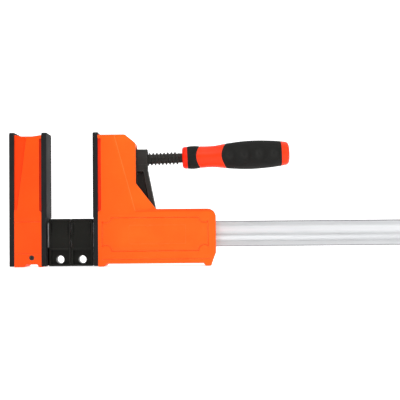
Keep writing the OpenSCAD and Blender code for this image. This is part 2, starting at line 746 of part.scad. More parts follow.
module handle_core() color(soft_orange) at_jaw() on_spindle() difference() {
    turned(concat([[0, 0], [0, collar_r - 1.4], [0.5, collar_r - 0.4], [1.4, collar_r],
        [band_x0, collar_r], [band_x0, collar_r - soft_t], [band_x1, collar_r - soft_t],
        [band_x1, neck_d / 2 + 0.2], [neck_end - 16, neck_d / 2], [neck_end - 11, neck_d / 2],
        [neck_end - 6, neck_d / 2 + 0.4], [neck_end, neck_d / 2 + 1.5]],
        [for (p = grip_points()) [p[0], p[1] - soft_t]], [[grip_end, 0]]));
    bar_x(tang_r, handle_x0 - 1, handle_x0 + tang_len, spindle_h);
    bar_y(pin_r, -grip_d, grip_d, handle_x0 + pin_x, spindle_h);
}

module handle_band() color(dark) at_jaw() on_spindle()
    turned([[band_x0, collar_r - soft_t], [band_x0, collar_r], [band_x0 + 3.3, collar_r + 0.8],
        [band_x1 - 3, collar_r + 0.4], [band_x1, neck_d / 2 + 0.2], [band_x1, collar_r - soft_t]]);

module handle_grip() color(dark) at_jaw() on_spindle()
    turned(concat(grip_points(),
        [for (i = [len(grip_points()) - 1:-1:0]) grip_points()[i] - [0, soft_t]]));

module handle_cap() color(soft_orange) at_jaw() on_spindle() {
    r = grip_r - 2.5;
    turned(concat([[grip_end, 0], [grip_end, r]],
        [for (a = [0:15:90]) [handle_len - 4 + 4 * sin(a), r - 4.4 + 3.6 * cos(a)]],
        [[handle_len, 0]]));
}

module handle_pin() color(hard_steel) at_jaw() on_spindle()
    bar_y(pin_r, -pin_half, pin_half, handle_x0 + pin_x, spindle_h);

rail();
rail_end_cap();
rail_stop_pin();
rail_fixing_pin();
fixed_jaw_core();
fixed_shell_front();
fixed_shell_rear();
fixed_face_plate();
fixed_back_plate();
fixed_jaw_pin();
fixed_shell_screw();
work_rest_left();
work_rest_right();
jaw_shell_front();
jaw_shell_rear();
jaw_face_plate();
jaw_core();
jaw_guide_front();
jaw_guide_rear();
jaw_shell_screws();
thrust_pad();
spindle_bush();
clamp_arm();
spindle_nut();
bite_pins();
spindle();
spindle_ring();
handle_core();
handle_band();
handle_grip();
handle_cap();
handle_pin();
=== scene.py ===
# %% [markdown]
# # A quick release bar clamp, dressed around its CAD frame
#
# The CAD model gives every piece its place and size. This lesson gives each piece its look:
# softened edges, finer curves and a finish made of shader nodes. It goes in the order that a
# photographer's assistant would work in: the camera and the lights first, then the finishes,
# then one piece after another from left to right.

# %% Load the frame
import json
import math

import bmesh
import bpy
from mathutils import Matrix, Vector

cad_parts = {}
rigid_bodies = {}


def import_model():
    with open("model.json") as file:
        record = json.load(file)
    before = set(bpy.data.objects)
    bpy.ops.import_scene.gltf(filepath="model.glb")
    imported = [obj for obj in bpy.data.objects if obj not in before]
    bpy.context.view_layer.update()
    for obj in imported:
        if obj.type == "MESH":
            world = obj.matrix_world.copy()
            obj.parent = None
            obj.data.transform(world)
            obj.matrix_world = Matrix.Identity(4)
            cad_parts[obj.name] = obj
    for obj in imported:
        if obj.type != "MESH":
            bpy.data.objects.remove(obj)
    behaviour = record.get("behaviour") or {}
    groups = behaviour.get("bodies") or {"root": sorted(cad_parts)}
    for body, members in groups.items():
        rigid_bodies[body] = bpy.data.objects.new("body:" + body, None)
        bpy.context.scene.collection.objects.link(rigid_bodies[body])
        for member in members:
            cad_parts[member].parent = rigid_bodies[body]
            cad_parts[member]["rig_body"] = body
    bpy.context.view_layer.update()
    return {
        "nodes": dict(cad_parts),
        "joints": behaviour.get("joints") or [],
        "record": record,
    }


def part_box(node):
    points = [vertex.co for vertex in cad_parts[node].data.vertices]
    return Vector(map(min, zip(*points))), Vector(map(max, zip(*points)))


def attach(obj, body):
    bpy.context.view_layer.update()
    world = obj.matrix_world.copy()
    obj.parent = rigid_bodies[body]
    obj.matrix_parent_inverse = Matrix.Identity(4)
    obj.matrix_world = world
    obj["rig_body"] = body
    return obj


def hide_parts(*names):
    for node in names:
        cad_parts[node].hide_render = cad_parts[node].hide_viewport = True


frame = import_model()
MM = 0.001  # everything below is thought in millimetres; the scene is in metres
print("pieces in the frame:", len(frame["nodes"]))

# %% [markdown]
# Sizes are read from the frame wherever it knows them. A box of a CAD node, in millimetres,
# says where a piece starts and ends, so a piece that is rebuilt here lands where it belongs.


# %% Read sizes from the frame
def span(node):
    """The lowest and highest corner of a CAD node, in millimetres."""
    low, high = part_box(node)
    return low / MM, high / MM


def pin_place(node):
    """Where a pin or a screw crosses the clamp, in x and z, and its radius."""
    low, high = span(node)
    return (low.x + high.x) / 2, (low.z + high.z) / 2, (high.x - low.x) / 2


rail_low, rail_high = span("rail")
fixed_back = span("fixed_back_plate")[0].x
fixed_face = span("fixed_face_plate")[1].x
moving_face = span("jaw_face_plate")[0].x
plate_t = span("fixed_back_plate")[1].x - fixed_back
shell_y = span("jaw_shell_rear")[1].y
shell_top = span("jaw_shell_rear")[1].z
jaw_top = span("jaw_face_plate")[1].z
jaw_half = span("jaw_face_plate")[1].y
print("rail", round(rail_high.x - rail_low.x, 1), "mm long; jaws", round(jaw_top, 1), "mm high")

# %% [markdown]
# ## Camera
#
# The photograph was taken with a long lens from about a metre away, because the rail's edges
# hardly converge. The camera stands at the rail's height and looks a little upwards. A long
# lens at the right distance gives the same overlaps as the photograph, such as how much of
# each clamping face shows. The picture is turned by about half a degree, so the camera is too.

# %% Set up the camera
camera_at = Vector((-36.6, -1100.0, 41.0))
looked_at = Vector((-36.6, 0.0, 71.7))
camera_turn = -0.5

camera_data = bpy.data.cameras.new("camera")
camera_data.lens = 90
camera_data.sensor_width = 36
camera_data.clip_end = 20
camera = bpy.data.objects.new("camera", camera_data)
bpy.context.scene.collection.objects.link(camera)
camera.location = camera_at * MM
camera.rotation_euler = (looked_at - camera_at).to_track_quat("-Z", "Y").to_euler()
camera.rotation_euler.rotate_axis("Z", math.radians(camera_turn))
bpy.context.scene.camera = camera
print("camera looks at", tuple(round(v) for v in looked_at))

# %% [markdown]
# ## Helpers for making solids
#
# Nearly every piece is a prism of an outline with softened edges, or something turned on a
# lathe. Both are skins over rings of points, so one small function that joins rings does
# most of the work. Holes and slots are cut with the manifold boolean solver afterwards, and a
# narrow bevel takes the sharpness off the cuts, since no moulded or cast edge is truly sharp.

# %% Solids from rings
same_point = 1e-7  # metres: points of one skin that lie closer than this are joined


def make(name, points, faces):
    """A closed mesh from points in millimetres, with its faces turned outwards."""
    mesh = bpy.data.meshes.new(name)
    mesh.from_pydata([Vector(p) * MM for p in points], [], faces)
    skin = bmesh.new()
    skin.from_mesh(mesh)
    bmesh.ops.remove_doubles(skin, verts=skin.verts, dist=same_point)
    bmesh.ops.recalc_face_normals(skin, faces=skin.faces)
    skin.to_mesh(mesh)
    skin.free()
    made = bpy.data.objects.new(name, mesh)
    bpy.context.scene.collection.objects.link(made)
    return made


def loft(name, rings, tube=False):
    """A skin over rings of equal length, closed with end faces or, as a tube, onto itself."""
    n = len(rings[0])
    last = len(rings) if tube else len(rings) - 1
    points = [p for ring in rings for p in ring]
    faces = []
    for k in range(last):
        a, b = k * n, ((k + 1) % len(rings)) * n
        faces += [[a + i, a + (i + 1) % n, b + (i + 1) % n, b + i] for i in range(n)]
    if not tube:
        faces += [list(range(n)), list(range(len(points) - n, len(points)))]
    return make(name, points, faces)


# %% Outlines: rounding corners and moving a line inwards
def rounded(corners, steps=5):
    """corners are (x, z, radius); each radius becomes an arc tangent to both sides."""
    points = []
    for i, (x, z, radius) in enumerate(corners):
        here = Vector((x, z))
        if radius == 0:
            points.append(here)
            continue
        before = Vector(corners[i - 1][:2]) - here
        after = Vector(corners[(i + 1) % len(corners)][:2]) - here
        half = before.angle(after) / 2
        reach = radius / math.tan(half)
        inwards = (before.normalized() + after.normalized()).normalized()
        centre = here + inwards * radius / math.sin(half)
        start = here + before.normalized() * reach - centre
        end = here + after.normalized() * reach - centre
        first = math.atan2(start.y, start.x)
        sweep = math.remainder(math.atan2(end.y, end.x) - first, 2 * math.pi)
        angles = [first + sweep * k / steps for k in range(steps + 1)]
        points += [centre + Vector((math.cos(a), math.sin(a))) * radius for a in angles]
    return points


def inset(points, by):
    """The outline moved inwards; the points run anticlockwise."""
    moved = []
    for i, p in enumerate(points):
        a = (p - points[i - 1]).normalized()
        b = (points[(i + 1) % len(points)] - p).normalized()
        na, nb = Vector((-a.y, a.x)), Vector((-b.y, b.x))
        moved.append(p + (na + nb) * by / (1 + na.dot(nb)))
    return moved


# %% Prisms along each axis
def side_solid(name, points, levels, side=1):
    """An outline in x and z, given as rings at (y, inset) levels; side -1 puts them in front."""
    points = [Vector(p) for p in points]
    return loft(name, [[(p.x, side * y, p.y) for p in inset(points, by)] for y, by in levels])


def plan_solid(name, points, levels):
    """An outline in x and y, given as rings at (z, inset) levels."""
    points = [Vector(p) for p in points]
    return loft(name, [[(p.x, p.y, z) for p in inset(points, by)] for z, by in levels])


def section_solid(name, points, levels):
    """An outline in y and z, given as rings at (x, inset) levels."""
    points = [Vector(p) for p in points]
    return loft(name, [[(x, p.x, p.y) for p in inset(points, by)] for x, by in levels])


past_all = 30  # millimetres from the middle, further out than any side


def block(x0, x1, y0, y1, z0, z1):
    """A box between two places along each axis."""
    corners = [(x0, y0), (x1, y0), (x1, y1), (x0, y1)]
    return plan_solid("block", corners, [(z0, 0), (z1, 0)])


def outside(side, y):
    """The stretch from y outwards, past a piece's face on one side."""
    return sorted((side * y, side * past_all))


def edged(low, high, edge):
    """Levels for a prism from low to high with narrow sloping edges at both ends."""
    return [(low, edge), (low + edge, 0), (high - edge, 0), (high, edge)]


def quarter(edge, radius, steps=4):
    """Levels that round an outer edge at height edge, the flat face last."""
    turns = [math.pi / 2 * k / steps for k in range(steps + 1)]
    return [(edge - radius * (1 - math.sin(a)), radius * (1 - math.cos(a))) for a in turns]


# %% Lathe work
def at_angle(value, angle):
    """A number, or what a function of the angle round the axis gives there."""
    return value(angle) if callable(value) else value


def turned(name, rows, sides=64, tube=False, place=Matrix.Identity(4)):
    """Rows of (distance along the axis, radius); either may be a function of the angle."""
    angles = [2 * math.pi * k / sides for k in range(sides)]
    rings = []
    for along, radius in rows:
        ring = []
        for a in angles:
            r = at_angle(radius, a)
            ring.append(place @ Vector((at_angle(along, a), -r * math.cos(a), r * math.sin(a))))
        rings.append(ring)
    return loft(name, rings, tube)


def along_x(x=0.0, y=0.0, z=0.0):
    """The place of something turned whose axis runs along the rail."""
    return Matrix.Translation((x, y, z))


def along_y(x=0.0, y=0.0, z=0.0):
    """The place of something turned whose axis runs across the rail, from front to back."""
    return Matrix.Translation((x, y, z)) @ Matrix.Rotation(math.pi / 2, 4, "Z")


def rod_y(radius, y0, y1, x, z, sides=48):
    """A plain round rod across the rail."""
    return turned("rod", [(y0, radius), (y1, radius)], sides, place=along_y(x, 0, z))


def rod_x(radius, x0, x1, y, z, sides=48):
    """A plain round rod along the rail."""
    return turned("rod", [(x0, radius), (x1, radius)], sides, place=along_x(0, y, z))


# %% Cutting and joining
def combine(target, tool, how="DIFFERENCE"):
    """Works a tool into the target, by default as a cut, and takes the tool away."""
    change = target.modifiers.new("change", "BOOLEAN")
    change.operation = how
    change.object = tool
    change.solver = "MANIFOLD"
    bpy.context.view_layer.update()
    changed = target.evaluated_get(bpy.context.evaluated_depsgraph_get())
    before = target.data
    target.data = bpy.data.meshes.new_from_object(changed)
    target.modifiers.clear()
    bpy.data.meshes.remove(before)
    bpy.data.objects.remove(tool)
    return target


def cut(target, *tools):
    """Takes the tools out of the target, one after another."""
    for tool in tools:
        combine(target, tool)
    return target


# %% [markdown]
# A bevel modifier that looks at the angle between faces would also grab the facets of round
# surfaces, so the edges are weighted here: only a real corner gets a bevel. Weighted normals
# then keep the large faces flat in the shading.

# %% Softening edges
close_point = 2e-6  # metres: cuts leave points this close together, which are joined first
sliver = 1e-6  # metres: edges shorter than this go
bevel_steps = 2  # how many narrow faces round each edge


def flat_faces(thing):
    """Keeps large faces flat in the shading, beside their bevels."""
    even = thing.modifiers.new("flat_faces", "WEIGHTED_NORMAL")
    even.keep_sharp = True


def soften(thing, width, corner=33):
    """Bevels the edges that turn by more than corner degrees; width is in millimetres."""
    skin = bmesh.new()
    skin.from_mesh(thing.data)
    bmesh.ops.remove_doubles(skin, verts=skin.verts, dist=close_point)
    bmesh.ops.dissolve_degenerate(skin, edges=skin.edges, dist=sliver)
    bmesh.ops.triangulate(skin, faces=[face for face in skin.faces if len(face.verts) > 4])
    layers = skin.edges.layers.float
    weight = layers.get("bevel_weight_edge") or layers.new("bevel_weight_edge")
    for edge in skin.edges:
        if len(edge.link_faces) == 2:
            edge[weight] = 1.0 if math.degrees(edge.calc_face_angle(0)) > corner else 0.0
    skin.to_mesh(thing.data)
    skin.free()
    bevel = thing.modifiers.new("soft_edges", "BEVEL")
    bevel.width = width * MM
    bevel.segments = bevel_steps
    bevel.limit_method = "WEIGHT"
    bevel.miter_outer = "MITER_ARC"
    flat_faces(thing)
    return thing


# %% Finishes by region, and the last step for each piece
def colour_faces(made, finish, *regions):
    """Puts one finish on a piece, and others where a region's test of a face's centre says so."""
    made.data.materials.clear()
    for name in (finish, *(name for name, _ in regions)):
        made.data.materials.append(finishes[name])
    for face in made.data.polygons:
        for k, (_, test) in enumerate(regions, 1):
            if test(face.center / MM):
                face.material_index = k
    tinted = sum(1 for face in made.data.polygons if face.material_index)
    print(made.name, "faces with another finish:", tinted)


def dress(thing, body, finish, *nodes):
    """Puts the finish on, ties the piece to its body and hides the CAD nodes it stands for."""
    if not any(thing.data.materials):
        thing.data.materials.clear()
        thing.data.materials.append(finishes[finish])
    for face in thing.data.polygons:
        face.use_smooth = True
    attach(thing, body)
    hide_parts(*nodes)
    print(thing.name, "has", len(thing.data.polygons), "faces before its modifiers")


# %% [markdown]
# ## Light and floor
#
# The photograph has a white ground, no hard shadow, and dark plastics that stay dark. Black
# plastic mirrors whatever stands where the camera is, so that side of the room stays dim. The
# light comes from one large soft box in front above the camera, one on its right and one
# overhead, with a faint one on the left that fills the shade. The floor runs up into a
# backdrop in one curve, so no line shows where they meet.

# %% Build the floor and its backdrop
floor_z = -0.3
floor_half = 2600.0
floor_front = -950.0
sweep_start = 900.0
sweep_radius = 700.0
sweep_steps = 12
backdrop_height = 2600.0

profile = [(floor_front, floor_z), (sweep_start, floor_z)]
for k in range(1, sweep_steps + 1):
    angle = math.pi / 2 * k / sweep_steps
    rise = sweep_radius * (1 - math.cos(angle))
    profile.append((sweep_start + sweep_radius * math.sin(angle), rise + floor_z))
profile.append((sweep_start + sweep_radius, backdrop_height))
points = [(side * floor_half, y, z) for side in (-1, 1) for y, z in profile]
count = len(profile)
faces = [[k, k + 1, count + k + 1, count + k] for k in range(count - 1)]
sheet_mesh = bpy.data.meshes.new("studio_sheet")
sheet_mesh.from_pydata([Vector(p) * MM for p in points], [], faces)
for face in sheet_mesh.polygons:
    face.use_smooth = True
studio_sheet = bpy.data.objects.new("studio_sheet", sheet_mesh)
bpy.context.scene.collection.objects.link(studio_sheet)

paper = bpy.data.materials.new("studio_paper")
paper.use_nodes = True
paper_shader = paper.node_tree.nodes["Principled BSDF"]
paper_shader.inputs["Base Color"].default_value = (0.9, 0.9, 0.9, 1)
paper_shader.inputs["Roughness"].default_value = 0.9
paper_shader.inputs["Emission Color"].default_value = (1, 1, 1, 1)
paper_shader.inputs["Emission Strength"].default_value = 0.7
studio_sheet.data.materials.append(paper)
print("floor is", 2 * floor_half * MM, "m wide")


# %% Hang the soft boxes
def soft_box(name, at, size, watts):
    """A rectangular area light that faces the middle of the clamp."""
    clamp_middle = Vector((0, 0, 70))
    lamp = bpy.data.lights.new(name, "AREA")
    lamp.shape = "RECTANGLE"
    lamp.size, lamp.size_y = size[0] * MM, size[1] * MM
    lamp.energy = watts
    hung = bpy.data.objects.new(name, lamp)
    bpy.context.scene.collection.objects.link(hung)
    hung.location = Vector(at) * MM
    hung.rotation_euler = (clamp_middle - Vector(at)).to_track_quat("-Z", "Y").to_euler()


soft_box("box_front", (-150, -1000, 950), (1300, 600), 9)
soft_box("box_right", (1100, -900, 500), (700, 900), 7)
soft_box("box_left", (-1200, -900, 400), (600, 900), 1)
soft_box("box_above", (100, -100, 1500), (1600, 900), 9)

room = bpy.data.worlds.new("room")
room.use_nodes = True
room_air = room.node_tree.nodes["Background"]
room_air.inputs["Color"].default_value = (1, 1, 1, 1)
room_air.inputs["Strength"].default_value = 0.15
bpy.context.scene.world = room
bpy.context.scene.view_settings.view_transform = "Standard"

# %% [markdown]
# ## Effects that several finishes share
#
# Moulded plastic is never one colour: it has a fine grain from the tool, edges that are
# rubbed a little lighter, and faint clouds where hands and glue have been. Each of these is a
# node group with its own sockets, built once and set differently in each material. The
# groups only put out masks and heights; each material decides what they do. Noise lies mostly
# between 0.3 and 0.7, so the ramps that turn it into a mask start and end near there.


# %% A small workshop for node groups
noise_low, noise_high = 0.3, 0.7


def new_group(name, inputs, outputs):
    """An empty group, and its two ends."""
    group = bpy.data.node_groups.new(name, "ShaderNodeTree")
    for socket, start in inputs:
        made = group.interface.new_socket(socket, in_out="INPUT", socket_type="NodeSocketFloat")
        made.default_value = start
    for socket in outputs:
        group.interface.new_socket(socket, in_out="OUTPUT", socket_type="NodeSocketFloat")
    return group, group.nodes.new("NodeGroupInput"), group.nodes.new("NodeGroupOutput")


def feed(tree, socket, value):
    """Puts a number into a socket, or links another socket to it."""
    if isinstance(value, bpy.types.NodeSocket):
        tree.links.new(value, socket)
    else:
        socket.default_value = value


def maths(tree, operation, a, b, clamp=False):
    """One Math node; a and b are sockets or numbers."""
    node = tree.nodes.new("ShaderNodeMath")
    node.operation = operation
    node.use_clamp = clamp
    feed(tree, node.inputs[0], a)
    feed(tree, node.inputs[1], b)
    return node.outputs[0]


def ramp(tree, value, low, high, out_low=0.0, out_high=1.0):
    """Spreads the values from low to high over the outputs from out_low to out_high."""
    node = tree.nodes.new("ShaderNodeMapRange")
    tree.links.new(value, node.inputs["Value"])
    ends = {"From Min": low, "From Max": high, "To Min": out_low, "To Max": out_high}
    for socket, end in ends.items():
        node.inputs[socket].default_value = end
    return node.outputs["Result"]


def place_on_piece(tree):
    """The place on a piece, in the piece's own coordinates."""
    return tree.nodes.new("ShaderNodeTexCoord").outputs["Object"]


def noise(tree, place, **settings):
    """A noise texture; settings are its sockets' names in small letters."""
    node = tree.nodes.new("ShaderNodeTexNoise")
    for socket, value in settings.items():
        feed(tree, node.inputs[socket.title()], value)
    feed(tree, node.inputs["Vector"], place)
    return node.outputs["Fac"]


# %% Grain: the fine texture of a moulding or casting
group, entry, leave = new_group("grain", [("Size", 0.4), ("Roundness", 0.5)], ["Height", "Clouds"])
grain_group = group
per_metre = maths(group, "DIVIDE", 1000.0, entry.outputs["Size"])
fine = noise(group, place_on_piece(group), detail=3.0, scale=per_metre, roughness=entry.outputs["Roundness"])
clouds = noise(group, place_on_piece(group), detail=4.0, scale=38.0)
group.links.new(fine, leave.inputs["Height"])
group.links.new(ramp(group, clouds, noise_low, noise_high), leave.inputs["Clouds"])

# %% Worn edges: where a corner turns within a small radius, broken up by noise
group, entry, leave = new_group("worn_edges", [("Radius", 0.8), ("Patchiness", 0.6)], ["Edges"])
wear_group = group
turned_normal = group.nodes.new("ShaderNodeBevel")
turned_normal.samples = 4
feed(group, turned_normal.inputs["Radius"], maths(group, "MULTIPLY", entry.outputs["Radius"], MM))
true_normal = group.nodes.new("ShaderNodeNewGeometry")
alike = group.nodes.new("ShaderNodeVectorMath")
alike.operation = "DOT_PRODUCT"
group.links.new(turned_normal.outputs["Normal"], alike.inputs[0])
group.links.new(true_normal.outputs["Normal"], alike.inputs[1])
still_flat, fully_sharp = 0.995, 0.86  # the dot product on a face, and on a corner
sharpness = ramp(group, alike.outputs["Value"], still_flat, fully_sharp)
patches = noise(group, place_on_piece(group), detail=6.0, scale=160.0)
unrubbed = maths(group, "SUBTRACT", 1.0, ramp(group, patches, 0.35, 0.65))
spared = maths(group, "MULTIPLY", unrubbed, entry.outputs["Patchiness"])
kept = maths(group, "SUBTRACT", 1.0, spared)
group.links.new(maths(group, "MULTIPLY", sharpness, kept, True), leave.inputs["Edges"])

# %% Handling: smudges in broad clouds, with hair-fine scuffs along the rail's direction
group, entry, leave = new_group("handling", [("Amount", 0.5)], ["Smudges", "Scuffs"])
handling_group = group
broad = noise(group, place_on_piece(group), detail=5.0, scale=22.0, distortion=1.2)
stretch = group.nodes.new("ShaderNodeMapping")
stretch.inputs["Scale"].default_value = (0.09, 1, 1)
stretch.inputs["Rotation"].default_value = (0, 0.3, 0)
group.links.new(place_on_piece(group), stretch.inputs["Vector"])
hairs = noise(group, stretch.outputs["Vector"], detail=2.0, scale=1400.0)
for mask, socket in ((ramp(group, broad, 0.35, 0.75), "Smudges"), (ramp(group, hairs, 0.68, 0.74), "Scuffs")):
    group.links.new(maths(group, "MULTIPLY", mask, entry.outputs["Amount"], True), leave.inputs[socket])

# %% Drawing lines: what a drawn or turned steel surface keeps from its die
group, entry, leave = new_group("drawing_lines", [("Spacing", 0.35), ("Stretch", 0.01)], ["Lines", "Bands"])
lines_group = group
axes = group.nodes.new("ShaderNodeSeparateXYZ")
group.links.new(place_on_piece(group), axes.inputs["Vector"])
drawn = group.nodes.new("ShaderNodeCombineXYZ")
feed(group, drawn.inputs["X"], maths(group, "MULTIPLY", axes.outputs["X"], entry.outputs["Stretch"]))
feed(group, drawn.inputs["Y"], axes.outputs["Y"])
feed(group, drawn.inputs["Z"], axes.outputs["Z"])
per_metre = maths(group, "DIVIDE", 1000.0, entry.outputs["Spacing"])
fine_lines = noise(group, drawn.outputs["Vector"], detail=4.0, scale=per_metre)
bands = noise(group, drawn.outputs["Vector"], detail=2.0, scale=260.0)
group.links.new(fine_lines, leave.inputs["Lines"])
group.links.new(ramp(group, bands, noise_low, noise_high), leave.inputs["Bands"])
print("effects:", [group.name for group in bpy.data.node_groups])

# %% [markdown]
# ## Finishes
#
# All plastics here are the same recipe with other numbers: a colour that drifts a little,
# lighter rubbed edges, smudges that change the gloss, and a grain in the bump. All metals
# share a second recipe, whose lines run along the rail. Keeping them as two functions makes
# it easy to compare two finishes by their numbers.


# %% Nodes that both recipes use
def new_material(name, roughness, metallic=0.0, mirroring=0.5):
    """A material with its tree and its shader; mirroring is how strongly it reflects head-on."""
    material = bpy.data.materials.new(name)
    material.use_nodes = True
    shader = material.node_tree.nodes["Principled BSDF"]
    shader.inputs["Metallic"].default_value = metallic
    shader.inputs["Roughness"].default_value = roughness
    shader.inputs["Specular IOR Level"].default_value = mirroring
    return material, material.node_tree, shader


def placed_group(tree, group, **values):
    """One of the effects, with this material's own numbers; gives its outputs."""
    node = tree.nodes.new("ShaderNodeGroup")
    node.node_tree = group
    for key, value in values.items():
        node.inputs[key].default_value = value
    return node.outputs


def blend_colour(tree, mask, below, above):
    """Mixes two colours by a mask; each is a socket or three numbers."""
    node = tree.nodes.new("ShaderNodeMix")
    node.data_type = "RGBA"
    tree.links.new(mask, node.inputs["Factor"])
    for socket, value in ((node.inputs[6], below), (node.inputs[7], above)):
        feed(tree, socket, (*value, 1) if isinstance(value, tuple) else value)
    return node.outputs[2]


def bump(tree, shader, height, depth):
    """depth is how tall the texture stands, in millimetres."""
    node = tree.nodes.new("ShaderNodeBump")
    node.inputs["Distance"].default_value = depth * MM
    tree.links.new(height, node.inputs["Height"])
    tree.links.new(node.outputs["Normal"], shader.inputs["Normal"])


# %% The recipe for plastics and paint
plastic_mirroring = 0.14  # these plastics mirror little of the bright room
scuff_strength = 0.5
smudge_gloss = 0.16
cloud_dulling = 0.05


def blend_painted_shade(tree, tone, near, x_near, x_far):
    """Painted shade: a tone that turns into the darker colour near, from x_far to x_near along the rail, in
    millimetres.
    """
    axes = tree.nodes.new("ShaderNodeSeparateXYZ")
    tree.links.new(place_on_piece(tree), axes.inputs["Vector"])
    return blend_colour(tree, ramp(tree, axes.outputs["X"], x_near * MM, x_far * MM), near, tone)


def moulded(name, colour, drift, rubbed, roughness, grain=0.4, depth=0.02, handling=0.4, wear=0.6,
            radius=0.8, painted_plate_shade=None):
    """grain and depth are the grain's size and height, radius how far wear reaches from an edge, in mm."""
    material, tree, shader = new_material(name, roughness, mirroring=plastic_mirroring)
    texture = placed_group(tree, grain_group, Size=grain)
    edges = placed_group(tree, wear_group, Radius=radius)
    touched = placed_group(tree, handling_group, Amount=handling)
    tone = blend_colour(tree, texture["Clouds"], colour, drift)
    # painted shade: the colour darkens towards a plate along the rail
    if painted_plate_shade:
        tone = blend_painted_shade(tree, tone, *painted_plate_shade)
    scuffed = blend_colour(tree, maths(tree, "MULTIPLY", touched["Scuffs"], scuff_strength), tone, rubbed)
    worn = blend_colour(tree, maths(tree, "MULTIPLY", edges["Edges"], wear), scuffed, rubbed)
    tree.links.new(worn, shader.inputs["Base Color"])
    smudged = maths(tree, "MULTIPLY", touched["Smudges"], smudge_gloss)
    gloss = maths(tree, "SUBTRACT", roughness, smudged)
    dulled = maths(tree, "MULTIPLY", texture["Clouds"], cloud_dulling)
    tree.links.new(maths(tree, "ADD", gloss, dulled), shader.inputs["Roughness"])
    bump(tree, shader, texture["Height"], depth)
    return material


# %% The recipe for bare and plated metals
rub_gain, rub_lift = 1.25, 0.05  # rubbed metal is this much brighter
rub_strength = 0.7
line_gloss, line_dulling = 0.06, 0.08  # how far the lines lower and raise the roughness
smudge_dulling = 0.1


def metal(name, colour, drift, roughness, stretch=0.01):
    """stretch is small where the lines run long, along the rail, and 1 where they don't."""
    material, tree, shader = new_material(name, roughness, metallic=1.0)
    lines = placed_group(tree, lines_group, Spacing=0.35, Stretch=stretch)
    edges = placed_group(tree, wear_group, Radius=0.5)
    touched = placed_group(tree, handling_group, Amount=0.4)
    tone = blend_colour(tree, lines["Bands"], colour, drift)
    rubbed = tuple(min(1.0, c * rub_gain + rub_lift) for c in colour)
    worn = blend_colour(tree, maths(tree, "MULTIPLY", edges["Edges"], rub_strength), tone, rubbed)
    tree.links.new(worn, shader.inputs["Base Color"])
    lined = ramp(tree, lines["Lines"], noise_low, noise_high, roughness - line_gloss,
                 roughness + line_dulling)
    dulled = maths(tree, "MULTIPLY", touched["Smudges"], smudge_dulling)
    tree.links.new(maths(tree, "ADD", lined, dulled), shader.inputs["Roughness"])
    bump(tree, shader, lines["Lines"], depth=0.006)
    return material


# %% [markdown]
# The orange of the casings is so strong that its red channel is nearly full while blue is
# almost gone. The fixed jaw is moulded in a redder orange than the moving one. Low relief
# hardly shows under soft light, so shade and highlight are painted into the colour: painted
# shade on the leaning sides, in the finger slots, on the fixed jaw's crease and on the strip
# along the housing's top, a painted highlight on the moving jaw's crease, and painted shade
# that darkens the moving jaw's orange softly towards its plate. The handle's collar has
# painted shade that makes it a darker red than its neck. The rail's rolled edges have a
# darker mix, a painted dark reflection of the dim room.


# %% Mix every finish of the clamp
def orange(name, colour, drift, rubbed, roughness=0.42, wear=0.3, painted_plate_shade=None):
    """One of the mixes of the casings' orange, which all have the same fine grain."""
    return moulded(name, colour, drift, rubbed, roughness, depth=0.012, wear=wear, painted_plate_shade=painted_plate_shade)


